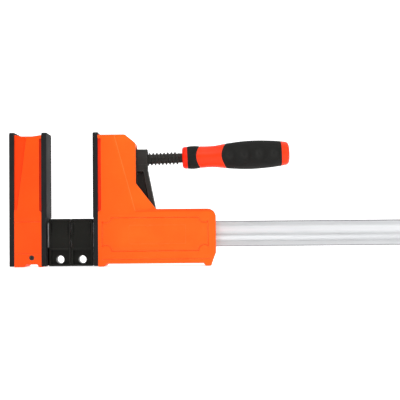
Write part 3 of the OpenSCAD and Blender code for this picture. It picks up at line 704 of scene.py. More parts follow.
plate_back = moving_face + plate_t
# how far from the moving jaw's plate its painted shade reaches, in millimetres
deeper_to = 26.0
finishes = {
    # the moving jaw's orange gets painted shade that darkens it towards its plate
    "casing_orange": orange("orange_casing", (0.96, 0.118, 0.008), (0.93, 0.1, 0.006), (1.0, 0.25, 0.07),
                            wear=0.5, painted_plate_shade=((0.95, 0.09, 0.005), plate_back, plate_back + deeper_to)),
    "fixed_orange": orange("orange_casing_of_the_fixed_jaw", (0.95, 0.073, 0.004),
                           (0.92, 0.064, 0.003), (1.0, 0.2, 0.05), wear=0.5),
    # painted shade on the fixed jaw's leaning side, which turns away from the light
    "lean_painted_shade": orange("orange_with_painted_shade_on_the_leaning_side", (0.93, 0.05, 0.003),
                          (0.9, 0.044, 0.002), (1.0, 0.16, 0.04), wear=0.5),
    # painted shade in the moving jaw's finger slot, a recess beside the plate
    "slot_painted_shade": orange("orange_with_painted_shade_in_the_finger_slots", (0.9, 0.034, 0.002),
                          (0.86, 0.03, 0.002), (0.95, 0.08, 0.015), roughness=0.5),
    # painted shade in the fixed jaw's finger slots and along its crease
    "slot_shaded": orange("orange_in_the_fixed_jaws_slots", (0.7, 0.024, 0.0015),
                          (0.66, 0.022, 0.001), (0.8, 0.06, 0.01), roughness=0.5),
    # painted shade on the moving jaw's side behind its crease
    "side_painted_shade": orange("orange_with_painted_shade_behind_the_moving_crease", (0.95, 0.107, 0.007),
                          (0.92, 0.094, 0.006), (1.0, 0.22, 0.06)),
    # a painted highlight along the moving jaw's crease
    "crease_painted_highlight": orange("orange_with_painted_highlight_on_the_moving_crease", (1.0, 0.18, 0.03),
                           (1.0, 0.155, 0.024), (1.0, 0.3, 0.1), roughness=0.4),
    # painted shade on the leaning strip along the housing's top
    "top_painted_shade": orange("orange_with_painted_shade_along_the_housings_top", (0.94, 0.09, 0.006),
                         (0.91, 0.08, 0.005), (1.0, 0.2, 0.05)),
    "plate_black": moulded("black_plate_plastic", (0.009, 0.009, 0.0095), (0.013, 0.013, 0.0135),
                           (0.055, 0.055, 0.054), 0.68, grain=0.6, depth=0.03),
    "rest_black": moulded("black_rest_plastic", (0.006, 0.006, 0.0045), (0.009, 0.009, 0.007),
                          (0.05, 0.05, 0.046), 0.42, grain=0.5, depth=0.02),
    "cast_black": moulded("black_painted_casting", (0.018, 0.017, 0.015), (0.026, 0.024, 0.022),
                          (0.1, 0.098, 0.09), 0.55, grain=1.1, depth=0.1, wear=0.8, radius=1.2),
    # the thread's bright rubbed crests are partly real wear and partly a painted highlight
    "spindle_black": moulded("oiled_black_thread", (0.014, 0.013, 0.012), (0.025, 0.023, 0.02),
                             (0.24, 0.235, 0.22), 0.3, grain=0.8, depth=0.02, wear=0.9, radius=0.5),
    "handle_red": moulded("red_handle_plastic", (0.98, 0.044, 0.008), (0.95, 0.038, 0.006),
                          (1.0, 0.13, 0.05), 0.36, depth=0.01, wear=0.4),
    # painted shade on the handle's collar, the same red plastic as the neck
    "collar_painted_shade": moulded("red_with_painted_shade_on_the_collar", (0.88, 0.02, 0.004), (0.85, 0.018, 0.003),
                          (0.95, 0.06, 0.02), 0.36, depth=0.01, wear=0.4),
    "grip_black": moulded("soft_black_grip", (0.007, 0.007, 0.0063), (0.0115, 0.0115, 0.0105),
                          (0.046, 0.046, 0.044), 0.72, grain=0.35, depth=0.05, handling=0.7, radius=2.5),
    "rail_steel": metal("zinc_plated_rail", (0.61, 0.62, 0.63), (0.55, 0.56, 0.575), 0.44),
    # a painted dark reflection on the rail's rolled edges
    "rail_edge_painted_reflection": metal("painted_dark_reflection_on_the_rails_rolled_edges", (0.26, 0.26, 0.27), (0.22, 0.22, 0.23), 0.5),
    "hard_steel": metal("ground_steel", (0.36, 0.36, 0.37), (0.3, 0.3, 0.31), 0.3, stretch=0.3),
    "screw_steel": metal("zinc_plated_screw", (0.5, 0.49, 0.44), (0.42, 0.41, 0.37), 0.35, stretch=1.0),
    "bronze": metal("turned_bronze", (0.55, 0.36, 0.13), (0.45, 0.28, 0.1), 0.32, stretch=0.5),
}
print("finishes:", len(finishes))

# %% [markdown]
# ## The rail
#
# A drawn bar of steel with a shallow hollow along each wide face. The hollow is what makes the
# bright and dark bands along the rail, because a curved mirror squeezes the whole room into a
# few stripes. So its curve has many points, far more than the CAD solid needs.

# %% Draw the rail
rail_mid = (rail_low.z + rail_high.z) / 2
rail_half_h = (rail_high.z - rail_low.z) / 2
rail_half_t = rail_high.y
rail_end_edge = 0.5
hollow_half_h = 9.2
hollow_depth = 1.7
hollow_steps = 28
corner_round = 1.5
through_rail = 10  # half the length of a cutter that passes through the whole bar


def hollow(side):
    """The curve down one wide face's hollow, from below on side 1 and from above on side -1."""
    shares = [k / hollow_steps for k in range(hollow_steps + 1)]
    return [(side * (rail_half_t - hollow_depth * math.sin(math.pi * share) ** 2),
             side * hollow_half_h * (2 * share - 1), 0) for share in shares]


bar = [(-rail_half_t, -rail_half_h, corner_round), (rail_half_t, -rail_half_h, corner_round), *hollow(1),
       (rail_half_t, rail_half_h, corner_round), (-rail_half_t, rail_half_h, corner_round), *hollow(-1)]
rail_outline = [p + Vector((0, rail_mid)) for p in rounded(bar, 6)]
rail_piece = section_solid("rail_bar", rail_outline, edged(rail_low.x, rail_high.x, rail_end_edge))
for node in ("rail_stop_pin", "rail_fixing_pin"):
    x, _, radius = pin_place(node)
    cut(rail_piece, rod_y(radius, -through_rail, through_rail, x, rail_mid))
# the rolled edges get a darker metal, a painted dark reflection of the dim room
rail_edge_from = rail_half_h - 0.8 * corner_round
colour_faces(rail_piece, "rail_steel", ("rail_edge_painted_reflection", lambda at: abs(at.z - rail_mid) > rail_edge_from))
soften(rail_piece, 0.2, corner=60)
dress(rail_piece, "rail_and_fixed_jaw", "rail_steel", "rail")

# %% [markdown]
# ## Plates
#
# Each jaw has a black plate that the work touches, and the fixed jaw has a second one at its
# back. They are tougher plastic than the casings, with a rounded edge towards the work and
# cropped top corners. A plan outline with its rounding built in gives the long soft highlight
# along that edge, which a bevel alone would make too narrow. Below the rests' tops a plate
# steps back a little, so that the rests don't rub on it.

# %% Make the three plates
plate_low = span("jaw_face_plate")[0].z
plate_round, back_round, top_round, foot_edge = 2.2, 0.8, 0.7, 0.5
crop = 4.2
cropper_half, cropper_reach = 4.0, 2.83  # half a square bar's side, and that over the root of two
key_root, key_tip, key_depth = 5.0, 6.5, 3.0
key_overlap = 0.5
key_low = rail_high.z + 8
key_high = shell_top - 6.1
rail_room = 0.6
slot_half, slot_top = rail_half_t + rail_room, rail_high.z + rail_room
relief, relief_from = 0.9, 3
relief_top = span("work_rest_left")[1].z + 1
below_all = -5  # under the feet of every piece
trim = 9  # how far a cutter reaches past an end


def crop_corner(made, face_x, side):
    """Takes off a plate's top corner with a bar that is turned by 45 degrees."""
    half = cropper_half
    cropper = block(-2 * half, 2 * half, -half, half, -half, half)
    away = cropper_reach - crop / 2
    place = Matrix.Translation(Vector((face_x, side * (jaw_half + away), jaw_top + away)) * MM)
    cropper.data.transform(place @ Matrix.Rotation(math.radians(45), 4, "X"))
    cut(made, cropper)


def key_outline(back, toward, root, tip, depth, overlap):
    """The dovetail that locks a plate into its casing, in plan; anticlockwise."""
    outline = [(back - toward * overlap, -root), (back + toward * depth, -tip),
               (back + toward * depth, tip), (back - toward * overlap, root)]
    return outline if toward > 0 else outline[::-1]


def plate(name, node, face_x, toward, work_side):
    """A plate whose outer face is at face_x; toward is the way from that face into the jaw."""
    back = face_x + toward * plate_t
    corners = [(face_x, -jaw_half, plate_round), (back, -jaw_half, back_round),
               (back, jaw_half, back_round), (face_x, jaw_half, plate_round)]
    if toward < 0:
        corners.reverse()
    levels = [(plate_low, foot_edge), (plate_low + foot_edge, 0)] + quarter(jaw_top, top_round, 3)
    made = plan_solid(name, rounded(corners, 6), levels)
    for side in (-1, 1):
        crop_corner(made, face_x, side)
    if work_side:
        key = key_outline(back, toward, key_root, key_tip, key_depth, key_overlap)
        combine(made, plan_solid("key", key, [(key_low, 0), (key_high, 0)]), "UNION")
        step = sorted((face_x - toward * relief_from, face_x + toward * relief))
        cut(made, block(face_x - trim, face_x + trim, -slot_half, slot_half, below_all, slot_top),
            block(*step, -past_all, past_all, below_all, relief_top))
    soften(made, 0.35, corner=30)
    dress(made, frame["nodes"][node]["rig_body"], "plate_black", node)


plate("fixed_back_plate_moulded", "fixed_back_plate", fixed_back, 1, False)
plate("fixed_face_plate_moulded", "fixed_face_plate", fixed_face, -1, True)
plate("moving_face_plate_moulded", "jaw_face_plate", moving_face, 1, True)

# %% [markdown]
# ## Work rests
#
# Two identical plastic rests ride on the rail between the jaws. Seen from the front each has a
# lip along its top, two snap slots under it, and a framed pocket round its screw hole. The
# two are made by one function with the place as its only difference, as they are in life.

# %% Make the work rests
rest_edge, rest_top_round = 0.4, 1.2
rest_lip, rest_lip_depth = 1.7, 1.3
pocket_base = 1.8
rib = 1.7
thin_rib = rib * 0.6
frame_w = 1.6
snap_w, snap_h, snap_depth = 1.3, 12.0, 4.0
snap_inset, snap_drop = 0.4, 4.0
hole_r, hole_z = 4.3, 7.8
hole_rim, rim_height = 1.0, 1.2
waist_z = rail_low.z - 2
lug_half = 5.0
rail_play = 0.3
through_rest = 15


def work_rest(name, node, body):
    """A rest at its own place: the box of its CAD node gives its size and where it stands."""
    low, high = span(node)
    mid_x = (low.x + high.x) / 2
    corners = [(low.x, low.z, rest_edge), (high.x, low.z, rest_edge),
               (high.x, high.z, rest_top_round), (low.x, high.z, rest_top_round)]
    made = side_solid(name, rounded(corners, 4), edged(low.y, high.y, rest_edge))
    way_half = rail_half_t + rail_play
    cut(made, block(low.x - 5, high.x + 5, -way_half, way_half, rail_low.z - rail_play,
                    rail_high.z + rail_play))
    snap_top = high.z - snap_drop
    for side in (-1, 1):
        cut(made, block(low.x + rib, high.x - rib, *outside(side, lug_half), low.z + pocket_base, waist_z))
        cut(made, block(low.x + thin_rib, high.x - thin_rib, *outside(side, high.y - rest_lip_depth),
                        waist_z + frame_w, high.z - rest_lip))
        for x in (low.x + rib + snap_inset, high.x - rib - snap_inset - snap_w):
            cut(made, block(x, x + snap_w, *outside(side, high.y - snap_depth), snap_top - snap_h, snap_top))
    rim_y = lug_half + rim_height
    combine(made, rod_y(hole_r + hole_rim, -rim_y, rim_y, mid_x, hole_z), "UNION")
    cut(made, rod_y(hole_r, -through_rest, through_rest, mid_x, hole_z))
    soften(made, 0.25, corner=32)
    dress(made, body, "rest_black", node)


work_rest("rest_left_moulded", "work_rest_left", "rest_left")
work_rest("rest_right_moulded", "work_rest_right", "rest_right")

# %% [markdown]
# ## Casings
#
# The two orange casings are moulded in halves that meet along the middle. Each half is a side
# outline with a generous rounding towards its outer face and a hair-line groove where the
# halves meet. Behind a slanted crease the side steps in over a short slope and then leans
# inwards by a few degrees. Everything else is cut in: the hollow, the way of the arm, the
# finger slots, a shallow panel and a bare, shallow rectangle on it.

# %% Sizes that both casings share
crown = 1.7
wall_t = 2.6
arch = 3.0
parting = [(0, 0.3), (0.3, 0)]
lean_in, lean_step = 4.5, 0.7
slot_w, fixed_slot_w, slot_depth = 3.6, 2.4, 1.6
slot_low, slot_high = rail_high.z + 10, shell_top - 4
slot_slant = 2.5
key_play = 0.1
line_half, line_depth = 0.45, 0.7
screw_head_r, screw_shank_r, screw_seat = 3.6, 1.9, 2.4
post_r = 4.2
inner_y = shell_y - wall_t
under_plate = 3  # an outline runs this far under its plates, and the slabs below cut it off
foot_round = 1.9
print("casing walls are", wall_t, "mm thick")


def slab(x0, x1):
    """A cutter as wide and as high as a whole casing."""
    return block(x0, x1, -past_all, past_all, -trim, shell_top + 60)


def rail_way(x0, x1):
    """A cutter for the room that the rail takes."""
    return block(x0, x1, -slot_half, slot_half, rail_low.z - rail_room, slot_top)


def half_shell(name, outline, hollow, side, posts):
    """One half of a casing: the front half has side -1, the rear half has side 1."""
    made = side_solid(name, outline, parting + quarter(shell_y, crown), side)
    room = side_solid("room", hollow, [(-1, 0), (inner_y, 0)], side)
    cut(room, *[rod_y(post_r, -past_all, past_all, x, z, 24) for x, z in posts])
    return cut(made, room)


def leaning_side(made, foot, lean, toward, side):
    """Cuts the side away behind a crease that starts at foot; it leans in as it gets further."""
    long, tall = 90, 150
    plan = [(0, 0), (long * toward, 0), (long * toward, past_all * side),
            (-past_all * toward, past_all * side)]
    if toward * side < 0:
        plan.reverse()
    wedge = plan_solid("wedge", plan, [(-long, 0), (tall, 0)])
    turn = Matrix.Translation(Vector((foot[0], side * (shell_y - lean_step), foot[1])) * MM)
    turn @= Matrix.Rotation(math.radians(lean), 4, "Y")
    turn @= Matrix.Rotation(math.radians(-side * toward * lean_in), 4, "Z")
    wedge.data.transform(turn)
    above_foot = block(-400, 400, -50, 50, foot[1], 300)
    combine(wedge, above_foot, "INTERSECT")
    return cut(made, wedge)


def finger_slot(x_plate, toward, side, wide):
    """The slot along the plate that lets a finger or a hook in, with its slanted lower end."""
    outer, inner = x_plate - toward, x_plate + toward * wide
    corners = [(outer, slot_low), (inner, slot_low + slot_slant), (inner, slot_high), (outer, slot_high)]
    if toward < 0:
        corners.reverse()
    return side_solid("slot", corners, [(shell_y - slot_depth, 0.3), (shell_y + 2, -0.3)], side)


def field(x0, x1, z0, z1, depth, side, radius=1.0, slope=0.6):
    """A shallow field in a casing's side, with sloping walls."""
    corners = rounded([(x0, z0, radius), (x1, z0, radius), (x1, z1, radius), (x0, z1, radius)], 4)
    return side_solid("field", corners, [(shell_y - depth, slope), (shell_y, 0), (shell_y + 1, -slope)], side)


def screw_holes(made, places):
    """A hole and a seat for the head of each screw, in a rear half."""
    for x, z in places:
        cut(made, rod_y(screw_shank_r, -2, shell_y, x, z, 32),
            rod_y(screw_head_r, shell_y - screw_seat, shell_y + 2, x, z, 40))


def key_room(face_x, toward):
    """The room for a plate's key, a little wider than the key itself."""
    key = key_outline(face_x + toward * plate_t, toward, key_root + key_play, key_tip + key_play,
                      key_depth + key_play, 0.3)
    return plan_solid("key_room", key, [(key_low - key_play, 0), (key_high + key_play, 0)])


# %% [markdown]
# After the cuts, the faces are sorted by where their centres lie, and each region gets its own
# mix of orange: painted shade in the finger slots, on the leaning sides, along the fixed jaw's
# crease and on the housing's top strip, and a painted highlight on the moving jaw's crease.
# The tests below are made by functions, since both casings need them with other numbers.


# %% Tests that tell the regions of a casing apart
def in_slot(x0, x1):
    """Tells the faces inside a finger slot from others, by their centre."""
    return lambda at: (x0 - 0.2 < at.x < x1 + 0.2 and slot_low - 0.5 < at.z < slot_high + 0.5
                       and shell_y - slot_depth - 0.2 < abs(at.y) < shell_y - 0.15)


def behind_crease(at, foot, lean, toward):
    """How far along the rail a place lies behind a crease."""
    return toward * (at.x - foot[0] - math.tan(math.radians(lean)) * (at.z - foot[1]))


def past_crease(crease):
    """Tells the faces of the leaning side from others."""
    foot_z = crease[0][1]
    return lambda at: (at.z > foot_z - 0.1 and abs(at.y) > inner_y + 0.5
                       and behind_crease(at, *crease) > 0)


def on_crease(crease):
    """Tells the narrow slope along the crease, between the side and its leaning part."""
    foot_z = crease[0][1]
    return lambda at: (at.z > foot_z and shell_y - lean_step - 0.05 < abs(at.y) < shell_y - 0.03
                       and -lean_step < behind_crease(at, *crease) < 0)


# %% Outline of the fixed jaw's casing
left, right = fixed_back + plate_t, fixed_face - plate_t
middle_x = (left + right) / 2
dip = 1.3
left_foot, left_arch, right_arch, right_foot = left + 10.5, left + 12.5, right - 4.5, right - 3.4
lines_z = (14.6, rail_high.z + 0.6)
fixed_corners = [
    (left - under_plate, 0, 0), (left_foot, 0, foot_round), (left_arch, arch, 1.2), (right_arch, arch, 1.2),
    (right_foot, 0, foot_round), (right + under_plate, 0, 0), (right + under_plate, shell_top, 0),
    (right - 1, shell_top, 2), (middle_x + 5, shell_top - dip, 9), (middle_x - 6, shell_top - dip, 9),
    (left + 1, shell_top, 2), (left - under_plate, shell_top, 0)]
fixed_hollow = [(left + wall_t, arch + wall_t), (right - wall_t, arch + wall_t),
                (right - wall_t, shell_top - wall_t - dip), (left + wall_t, shell_top - wall_t - dip)]
# a crease is its foot, its lean in degrees and the way that is behind it
fixed_crease = ((fixed_back + 8.0, rail_high.z + 13.5), 7.4, -1)
fixed_screw = pin_place("fixed_shell_screw")[:2]
*jaw_pin, jaw_pin_r = pin_place("fixed_jaw_pin")
print("the fixed jaw's casing is", round(right - left, 1), "mm wide")


# %% Mould the fixed jaw's casing
def fixed_casing(name, node, side):
    """One half of the fixed jaw's casing."""
    made = half_shell(name, rounded(fixed_corners, 5), fixed_hollow, side, [fixed_screw])
    cut(made, slab(left - trim, left), slab(right, right + trim), rail_way(middle_x, right + trim),
        key_room(fixed_face, -1), finger_slot(right, -1, side, fixed_slot_w))
    leaning_side(made, *fixed_crease, side)
    for z in lines_z:
        cut(made, field(left - under_plate, right + under_plate, z - line_half, z + line_half,
                        line_depth, side, 0.2, 0.1))
    cut(made, rod_y(jaw_pin_r, -past_all, past_all, *jaw_pin))
    if side > 0:
        screw_holes(made, [fixed_screw])
    # painted shade in the slots, on the leaning side and along the crease
    colour_faces(made, "fixed_orange", ("slot_shaded", in_slot(right - fixed_slot_w, right)),
                 ("lean_painted_shade", past_crease(fixed_crease)), ("slot_shaded", on_crease(fixed_crease)))
    soften(made, 0.28)
    dress(made, "rail_and_fixed_jaw", "casing_orange", node)


fixed_casing("fixed_casing_front", "fixed_shell_front", -1)
fixed_casing("fixed_casing_rear", "fixed_shell_rear", 1)
front_y, rear_y = (corner.y for corner in span("fixed_jaw_pin"))
pin_rows = [(front_y, 0), (front_y, jaw_pin_r - 1.2), (front_y + 0.6, jaw_pin_r - 1.0),
            (front_y + 0.35, jaw_pin_r - 0.3), (front_y + 0.7, jaw_pin_r),
            (rear_y - 0.4, jaw_pin_r), (rear_y, jaw_pin_r - 0.4), (rear_y, 0)]
cross_pin = turned("fixed_jaw_cross_pin", pin_rows, 40, place=along_y(jaw_pin[0], 0, jaw_pin[1]))
dress(soften(cross_pin, 0.1), "rail_and_fixed_jaw", "spindle_black", "fixed_jaw_pin")

# %% Outline of the moving jaw's casing
jaw_x = moving_face + plate_t
jaw_end = span("jaw_shell_rear")[1].x
housing_z = rail_high.z + 13.5
column_x = moving_face + 46.5
slope_x = column_x + 21.6
slope_z = jaw_top - 29.5 - 26.5
end_slope_z = 14.5
front_foot, front_arch, rear_arch = jaw_x + 6.7, jaw_x + 8.4, jaw_end - 13.4
heel_from, heel_to = jaw_end - 11.6, jaw_end - 5.4
shoulder_x = column_x - 11.5
moving_corners = [
    (jaw_x - under_plate, 0, 0), (front_foot, 0, foot_round), (front_arch, arch, 1.0), (rear_arch, arch, 1.0),
    (heel_from, 0, foot_round), (heel_to, 0, foot_round), (jaw_end, end_slope_z, 5), (jaw_end, housing_z, 9),
    (slope_x, housing_z, 1.5), (column_x, slope_z, 2), (column_x, shell_top - 9.5, 4),
    (shoulder_x, shell_top, 4), (jaw_x - under_plate, shell_top, 0)]
moving_hollow = inset([Vector(p) for p in (
    (jaw_x, arch), (jaw_end - 7, arch), (jaw_end, end_slope_z), (jaw_end, housing_z - 8),
    (jaw_end - 8.4, housing_z), (slope_x, housing_z), (column_x, slope_z),
    (column_x, shell_top - 12), (shoulder_x, shell_top), (jaw_x, shell_top))], wall_t)
moving_crease = ((column_x - 0.4, housing_z - 1.6), -15.2, 1)
pad_left, pad_right = moving_face + 14, jaw_end - 12.6
pad_bottom, pad_top = rail_low.z - 3.5, rail_high.z + 4.7
pads = [(x, z) for z in (pad_top, pad_bottom) for x in (pad_left, pad_right)]
top_screw = (jaw_x + 20, shell_top - 7)
pad_r, panel_depth = 5.6, 0.6
bare_x, bare_z = (moving_face + 38.3, moving_face + 101), (23.7, 45.3)
foot_line_z = 7.6
print("the moving jaw's casing is", round(jaw_end - jaw_x, 1), "mm long")

# %% The way that the arm takes through the casing
joints = {joint["name"]: joint for joint in frame["joints"]}
pivot = Vector(joints["spindle_turn"]["pos_m"]) / MM
spindle_axis = Vector(joints["spindle_turn"]["axis"])
arm_travel = joints["arm_feed"]["range_m"][1] / MM
arm_rise = arm_travel * spindle_axis.z
boss_r, boss_half = 11.6, 9.0
arm_half = 10.0
arm_play = 1.0
foot_heel = slope_x + 4
print("the arm moves", arm_travel, "mm and rises by", round(arm_rise, 2), "mm")


# %% The shallow panel, notched round its four screw pads
def panel_outline(bottom_over=1.0, steps=8):
    """Anticlockwise; each corner is a hollow arc about a pad's centre."""
    side_over = pad_r - 1
    points = []
    for x, z, right, up in ((pad_left, pad_bottom, -1, -1), (pad_right, pad_bottom, 1, -1),
                            (pad_right, pad_top, 1, 1), (pad_left, pad_top, -1, 1)):
        over = bottom_over if up < 0 else 0.0
        at_side = math.atan2(-up * math.sqrt(pad_r ** 2 - side_over ** 2), right * side_over)
        at_edge = math.atan2(up * over, -right * math.sqrt(pad_r ** 2 - over ** 2))
        first, last = (at_side, at_edge) if right * up > 0 else (at_edge, at_side)
        sweep = math.remainder(last - first, 2 * math.pi)
        angles = [first + sweep * k / steps for k in range(steps + 1)]
        points += [Vector((x + pad_r * math.cos(a), z + pad_r * math.sin(a))) for a in angles]
    return points


def panel_cutter(side):
    """Takes the panel's shallow depth out of one side."""
    levels = [(shell_y - panel_depth, 0.3), (shell_y, 0), (shell_y + 1, -0.3)]
    return side_solid("panel", panel_outline(), levels, side)


def groove(points, depth, width, side):
    """A closed ring to cut a groove along the inside of an outline."""
    rings = [(shell_y + 1, 0.0), (shell_y - depth, 0.1), (shell_y - depth, width - 0.1), (shell_y + 1, width)]
    return loft("groove", [[(p.x, side * y, p.y) for p in inset(points, by)] for y, by in rings], tube=True)


# %% The leaning strip along the top of the housing
strip_h, strip_lean, above_strip = 3.4, 8.0, 0.6
strip_from = moving_crease[0][0]


def strip_cutter(side):
    """A block that leans over the housing's top edge and shaves it."""
    strip = block(strip_from, jaw_end + trim, *outside(side, 0), 0, strip_h + above_strip)
    turn = Matrix.Translation(Vector((0, side * shell_y, housing_z - strip_h)) * MM)
    strip.data.transform(turn @ Matrix.Rotation(math.radians(side * strip_lean), 4, "X"))
    return strip


def on_strip(at):
    """Tells the faces of the strip from others, by their centre."""
    return (at.x > strip_from and housing_z - strip_h - 0.1 < at.z < housing_z + 0.4
            and abs(at.y) > inner_y + 0.5)


# %% Mould the moving jaw's casing
def moving_casing(name, node, side):
    """One half of the moving jaw's casing."""
    made = half_shell(name, rounded(moving_corners, 6), moving_hollow, side, pads + [top_screw])
    cut(made, slab(jaw_x - trim, jaw_x), rail_way(jaw_x - 1, jaw_end + trim))
    boss_way, arm_way = boss_r + arm_play, arm_half + arm_play
    way_from = pivot.x - boss_half - arm_play
    cut(made, block(way_from, pivot.x + boss_half + arm_travel, -boss_way, boss_way,
                    pivot.z - boss_way, pivot.z + boss_way + arm_rise))
    cut(made, block(way_from, foot_heel + arm_travel + arm_play, -arm_way, arm_way,
                    housing_z - wall_t - 2, pivot.z))
    cut(made, key_room(moving_face, 1), finger_slot(jaw_x, 1, side, slot_w), panel_cutter(side))
    cut(made, groove(inset(panel_outline(), 0.2), panel_depth + 0.7, 0.9, side))
    cut(leaning_side(made, *moving_crease, side), strip_cutter(side))
    cut(made, field(*bare_x, *bare_z, panel_depth + 0.15, side, 1.5, 0.8))
    foot_line = (jaw_x + 4, jaw_end - 5.5, foot_line_z - 0.5, foot_line_z + 0.5)
    cut(made, field(*foot_line, line_depth, side, 0.3, 0.2))
    if side > 0:
        screw_holes(made, pads + [top_screw])
    # painted shade in the slot, behind the crease and on the top strip; a painted highlight on the crease
    colour_faces(made, "casing_orange", ("slot_painted_shade", in_slot(jaw_x, jaw_x + slot_w)),
                 ("side_painted_shade", past_crease(moving_crease)), ("crease_painted_highlight", on_crease(moving_crease)),
                 ("top_painted_shade", on_strip))
    soften(made, 0.28)
    dress(made, "moving_jaw", "casing_orange", node)


moving_casing("moving_casing_front", "jaw_shell_front", -1)
moving_casing("moving_casing_rear", "jaw_shell_rear", 1)

# %% [markdown]
# ## Arm
#
# The black casting behind the moving jaw: a round boss that holds the nut, and below it a
# web with flanges that reaches down round the rail. Sand-cast iron has blunt edges and walls
# that taper, so the web's pocket gets sloping sides and all edges a wide bevel.

# %% Sizes of the arm
arm_foot_low = rail_low.z - 12
arm_toe = foot_heel - 32
arm_web_half = 4.5
flange_w, boss_flange = 5.4, 1.6
boss_left, boss_right = pivot.x - boss_half, pivot.x + boss_half
boss_bottom = pivot.z - boss_r
nut_r, nut_seat_r = boss_r - 2.4, 8.0
heel_z, toe_z = rail_high.z + 4, rail_high.z + 6
flange_foot_x = slope_x - 0.6
slot_play = 0.3
bite_r, bite_inset = 3.0, 5.0
through_arm = 15
# how far the edge of the casting and of its boss is rounded, at distances from its face
blunt = [(0, 0.9), (0.25, 0.35), (0.9, 0)]
boss_blunt = [(0, 0.8), (0.25, 0.25), (0.9, 0)]
print("the arm's boss is", 2 * boss_r, "mm across")

# %% Cast the arm
arm_corners = [
    (arm_toe, arm_foot_low, 2), (foot_heel, arm_foot_low, 2), (foot_heel, heel_z, 2),
    (flange_foot_x, housing_z, 0), (boss_right, boss_bottom, 0), (boss_right, pivot.z, 0),
    (boss_left, pivot.z, 0), (boss_left, boss_bottom, 0), (arm_toe, toe_z, 0)]
arm_levels = [(deep - arm_half, by) for deep, by in blunt]
arm_levels += [(arm_half - deep, by) for deep, by in blunt[::-1]]
arm = side_solid("arm_casting", rounded(arm_corners, 4), arm_levels)
pocket_top = boss_bottom + flange_w - boss_flange
pocket = [Vector(p) for p in ((arm_toe, toe_z), (foot_heel, heel_z), (flange_foot_x, housing_z),
                              (boss_right, pocket_top), (boss_left, pocket_top))]
pocket_levels = [(arm_web_half, 1.2), (arm_half + 0.5, -0.3)]
for side in (-1, 1):
    cut(arm, side_solid("pocket", inset(pocket, flange_w), pocket_levels, side))
boss_rows = [(boss_left, 0), *((boss_left + deep, boss_r - by) for deep, by in boss_blunt),
             *((boss_right - deep, boss_r - by) for deep, by in boss_blunt[::-1]), (boss_right, 0)]
combine(arm, turned("boss", boss_rows, 72, place=along_x(0, 0, pivot.z)), "UNION")
rail_way_low = rail_low.z - slot_play - arm_rise
cut(arm, rod_x(nut_r, boss_left - 1, boss_right - 1, 0, pivot.z),
    rod_x(nut_seat_r, boss_left, boss_right + 1, 0, pivot.z),
    block(arm_toe - 1, foot_heel + 1, -rail_half_t - slot_play, rail_half_t + slot_play,
          rail_way_low, rail_high.z + slot_play))
for x, z in ((foot_heel - bite_inset, rail_high.z + slot_play + bite_r),
             (arm_toe + bite_inset, rail_way_low - bite_r)):
    cut(arm, rod_y(bite_r, -through_arm, through_arm, x, z))
soften(arm, 0.4, corner=35)
dress(arm, "arm", "cast_black", "clamp_arm")

# %% [markdown]
# ## Spindle
#
# The spindle leans by two degrees, as it does in the photograph, so its pieces are made along
# a level axis and then laid onto the joint's own axis. The thread is one skin that winds round
# like the peel of an apple: each row of points is the flank's cross-section, a small turn
# further on. Its crest fades in and out over a quarter turn at both ends.

# %% Lay pieces along the spindle's axis
tilt = Vector((1, 0, 0)).rotation_difference(spindle_axis).to_matrix().to_4x4()
on_spindle = Matrix.Translation(pivot) @ tilt
thread_r, thread_depth, pitch = 7.0, 1.7, 4.0
thread_from, thread_to = -11.2, 47.0
journal_from, journal_r = -33.0, 5.0
steps_per_turn = 44
# where along one pitch the flank's points lie, and how high between root and crest
flank = [(0.05, 0.0), (0.1, 0.12), (0.22, 0.86), (0.28, 1.0),
         (0.48, 1.0), (0.54, 0.86), (0.66, 0.12), (0.71, 0.0)]
print("the spindle leans by", round(math.degrees(math.asin(spindle_axis.z)), 1), "degrees")


# %% Wind the thread
def wound_thread(name, length):
    """One closed skin: a row of flank points at each step, and a ring and a disc at both ends."""
    turns = int(length / pitch) - 1
    n, rows, m = steps_per_turn, steps_per_turn * turns, len(flank)
    root_r = thread_r - thread_depth
    start_x = thread_to - pitch * (turns + 1.3)

    def at(i, j):
        fade = min(1, 4 * i / n, 4 * (rows - i) / n)
        r = root_r + thread_depth * flank[j][1] * fade
        a = 2 * math.pi * i / n
        return (start_x + pitch * (i / n + flank[j][0]), r * math.sin(a), r * math.cos(a))

    def ring(x):
        angles = [2 * math.pi * k / n for k in range(n)]
        return [(x, root_r * math.sin(a), root_r * math.cos(a)) for a in angles]

    points = [at(i, j) for i in range(rows + 1) for j in range(m)]
    low, high = len(points), len(points) + n
    points += ring(start_x - pitch / 4) + ring(start_x + pitch * (turns + 1) + pitch / 4)
    # the flanks, and the root between one turn and the next
    faces = [[m * i + j, m * i + j + 1, m * (i + 1) + j + 1, m * (i + 1) + j]
             for i in range(rows) for j in range(m - 1)]
    faces += [[m * i + m - 1, m * (i + n), m * (i + n + 1), m * (i + 1) + m - 1] for i in range(rows - n)]
    # the first turn down to the low ring, and its disc
    faces += [[low + k, m * k, m * (k + 1), low + k + 1] for k in range(n - 1)]
    faces.append([low + n - 1, m * (n - 1), m * n, *range(m - 1, -1, -1), low])
    faces.append([low + k for k in range(n)])
    # the last turn up to the high ring, and its disc
    b = rows - n
    faces += [[m * (b + k) + m - 1, high + k, high + (k + 1) % n, m * (b + k + 1) + m - 1]
              for k in range(1, n)]
    faces.append([high + 1, m * (b + 1) + m - 1, m * b + m - 1, *(m * rows + j for j in range(m)), high])
    faces.append([high + k for k in range(n)])
    return make(name, [on_spindle @ Vector(p) for p in points], faces)


